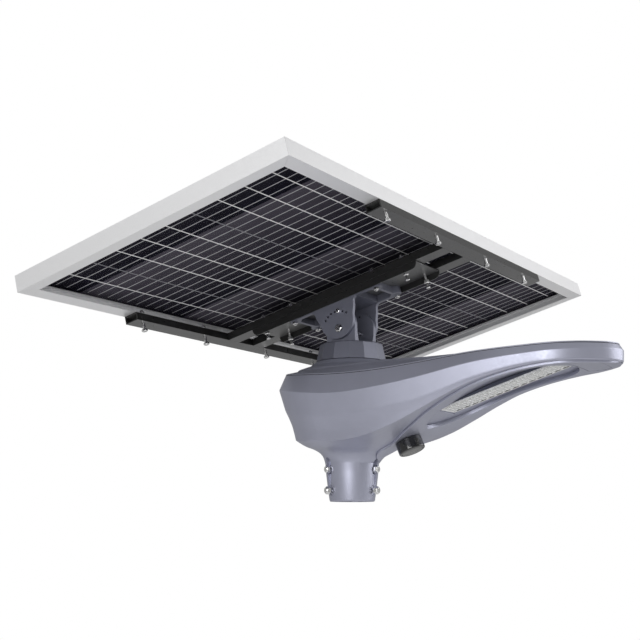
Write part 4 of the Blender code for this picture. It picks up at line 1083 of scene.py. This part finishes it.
def lens_rims(bm):
    """Four bars round the strip's face: two along its sides and two across its ends."""
    half = LENS_WIDTH / 2
    inner = half - LENS_BORDER
    far = LENS_LENGTH - LENS_BORDER
    add_box(bm, (0, -half, 0.0), (LENS_LENGTH, -inner, LENS_FACE), LENS_PLACE)
    add_box(bm, (0, inner, 0.0), (LENS_LENGTH, half, LENS_FACE), LENS_PLACE)
    add_box(bm, (0, -inner, 0.0), (LENS_BORDER, inner, LENS_FACE), LENS_PLACE)
    add_box(bm, (far, -inner, 0.0), (LENS_LENGTH, inner, LENS_FACE), LENS_PLACE)


CELL_LENGTH = (LENS_LENGTH - 2 * LENS_BORDER - LENS_MARGIN[0]) / LENS_COLUMNS
CELL_WIDTH = (LENS_WIDTH - 2 * LENS_BORDER - LENS_MARGIN[1]) / LENS_ROWS
COLUMN_XS = [LENS_BORDER + LENS_MARGIN[0] / 2 + CELL_LENGTH * (i + 0.5) for i in range(LENS_COLUMNS)]
ROW_YS = [(j - (LENS_ROWS - 1) / 2) * CELL_WIDTH for j in range(LENS_ROWS)]


def lens_cells(bm):
    size = Vector((LENS_RADII[0] * CELL_LENGTH, LENS_RADII[1] * CELL_WIDTH, LENS_BULGE))
    for x in COLUMN_XS:
        for y in ROW_YS:
            for shift in (-LENS_SHIFT, LENS_SHIFT):
                spot = Vector((x + shift * CELL_LENGTH, y, LENS_FACE))
                matrix = LENS_PLACE @ Matrix.LocRotScale(spot, None, size)
                bmesh.ops.create_uvsphere(bm, u_segments=14, v_segments=8, radius=1.0, matrix=matrix)


def lens_slots(bm):
    """Short dark slots along both sides of the face, one at each column of lenses."""
    inner = LENS_WIDTH / 2 - LENS_BORDER
    for x in COLUMN_XS:
        for y in (-inner, inner - SLOT_WIDTH):
            low = (x - SLOT_HALF, y, 0.0002)
            high = (x + SLOT_HALF, y + SLOT_WIDTH, LENS_FACE + 0.0002)
            add_box(bm, low, high, LENS_PLACE)


piece("lens_plate", mesh_of("lens_plate", lens_plate), lens_plastic, HEAD, ["led_lens"])
piece("lens_rims", mesh_of("lens_rims", lens_rims), lens_rim, HEAD)
piece("lens_cells", mesh_of("lens_cells", lens_cells), lens_plastic, HEAD)
piece("lens_slots", mesh_of("lens_slots", lens_slots), black_plastic, HEAD)


# ---- sensor ------------------------------------------------------------------------------------
PUCK_ROUNDING = 0.0026
PUCK_CORNER = SENSOR_RADIUS - PUCK_ROUNDING
puck = [(0.0, SENSOR_HEIGHT), (SENSOR_RADIUS, SENSOR_HEIGHT), (SENSOR_RADIUS, 0.0034)]
puck += arc((PUCK_CORNER, 0.0030), PUCK_ROUNDING, 0, -80, 6)
puck += [(0.0212, 0.0002), (0.0206, 0.0010), (0.0205, 0.0190), (0.0, 0.0190)]
puck_mesh = turned_mesh("sensor_puck", puck, SENSOR_PLACE)
piece("sensor_puck", puck_mesh, glossy_black, HEAD, ["sensor_body"])
window = [(0.0, 0.0040), (0.0202, 0.0040), (0.0202, 0.0008)]
window += [(0.0196, 0.0003), (0.0150, -0.0003), (0.0, -0.0010)]
window_mesh = turned_mesh("sensor_window", window, SENSOR_PLACE)
piece("sensor_window", window_mesh, sensor_glass, HEAD, ["sensor_lens"])


# ---- floor, light and camera -------------------------------------------------------------------
FLOOR_Z = -0.90
FLOOR_RADIUS = 2.3
floor_mesh = bpy.data.meshes.new("floor")
bm = bmesh.new()
bmesh.ops.create_circle(bm, cap_ends=True, segments=96, radius=FLOOR_RADIUS)
bmesh.ops.translate(bm, verts=bm.verts, vec=(0, 0, FLOOR_Z))
bm.to_mesh(floor_mesh)
bm.free()
floor = bpy.data.objects.new("floor", floor_mesh)
bpy.context.scene.collection.objects.link(floor)
pale = Paint("floor_pale", (0.86, 0.86, 0.86), 0.0, 0.7)
pale.tint(pale.noise(3.0), 0.99, 1.01)
floor_mesh.materials.append(pale.material)

SKY_LIGHT = 0.36  # what the room's white walls give the object
SKY_SEEN = 1.0  # how bright they look behind it
world = bpy.data.worlds.new("studio")
bpy.context.scene.world = world
world.use_nodes = True
sky = world.node_tree.nodes["Background"]
sky.inputs["Color"].default_value = (1.0, 1.0, 1.0, 1.0)
rays = world.node_tree.nodes.new("ShaderNodeLightPath")
strength = world.node_tree.nodes.new("ShaderNodeMapRange")
strength.inputs["To Min"].default_value = SKY_LIGHT
strength.inputs["To Max"].default_value = SKY_SEEN
world.node_tree.links.new(rays.outputs["Is Camera Ray"], strength.inputs["Value"])
world.node_tree.links.new(strength.outputs["Result"], sky.inputs["Strength"])
bpy.context.scene.view_settings.view_transform = "Standard"


def softbox(name, place, aim, size, power):
    """A round white area light that the camera doesn't see."""
    light = bpy.data.lights.new(name, "AREA")
    light.shape = "DISK"
    light.size = size
    light.energy = power
    obj = bpy.data.objects.new(name, light)
    bpy.context.scene.collection.objects.link(obj)
    obj.location = place
    obj.rotation_mode = "QUATERNION"
    obj.rotation_quaternion = (Vector(aim) - Vector(place)).to_track_quat("-Z", "Y")
    obj.visible_camera = False


softbox("key_light", (0.65, -2.5, 0.50), (0.1, -0.1, 0.25), 1.8, 34.0)
softbox("side_light", (2.0, 1.3, 0.85), (0.2, 0.0, 0.45), 2.2, 28.0)
softbox("floor_light", (0.0, 0.0, -0.85), (0.0, 0.0, 0.0), 4.0, 3.0)

CAMERA_PLACE = Vector((1.1388, -1.9352, -0.0563))
CAMERA_AZIMUTH = math.radians(32.02)
CAMERA_RISE = math.radians(10.15)
CAMERA_LENS = 66.656
camera_data = bpy.data.cameras.new("camera")
camera_data.sensor_width = 36.0
camera_data.lens = CAMERA_LENS
camera_data.clip_start = 0.05
camera_data.clip_end = 100.0
camera = bpy.data.objects.new("camera", camera_data)
bpy.context.scene.collection.objects.link(camera)
facing = Vector((
    -math.sin(CAMERA_AZIMUTH) * math.cos(CAMERA_RISE),
    math.cos(CAMERA_AZIMUTH) * math.cos(CAMERA_RISE),
    math.sin(CAMERA_RISE),
))
camera.location = CAMERA_PLACE
camera.rotation_mode = "QUATERNION"
camera.rotation_quaternion = facing.to_track_quat("-Z", "Y")
bpy.context.scene.camera = camera
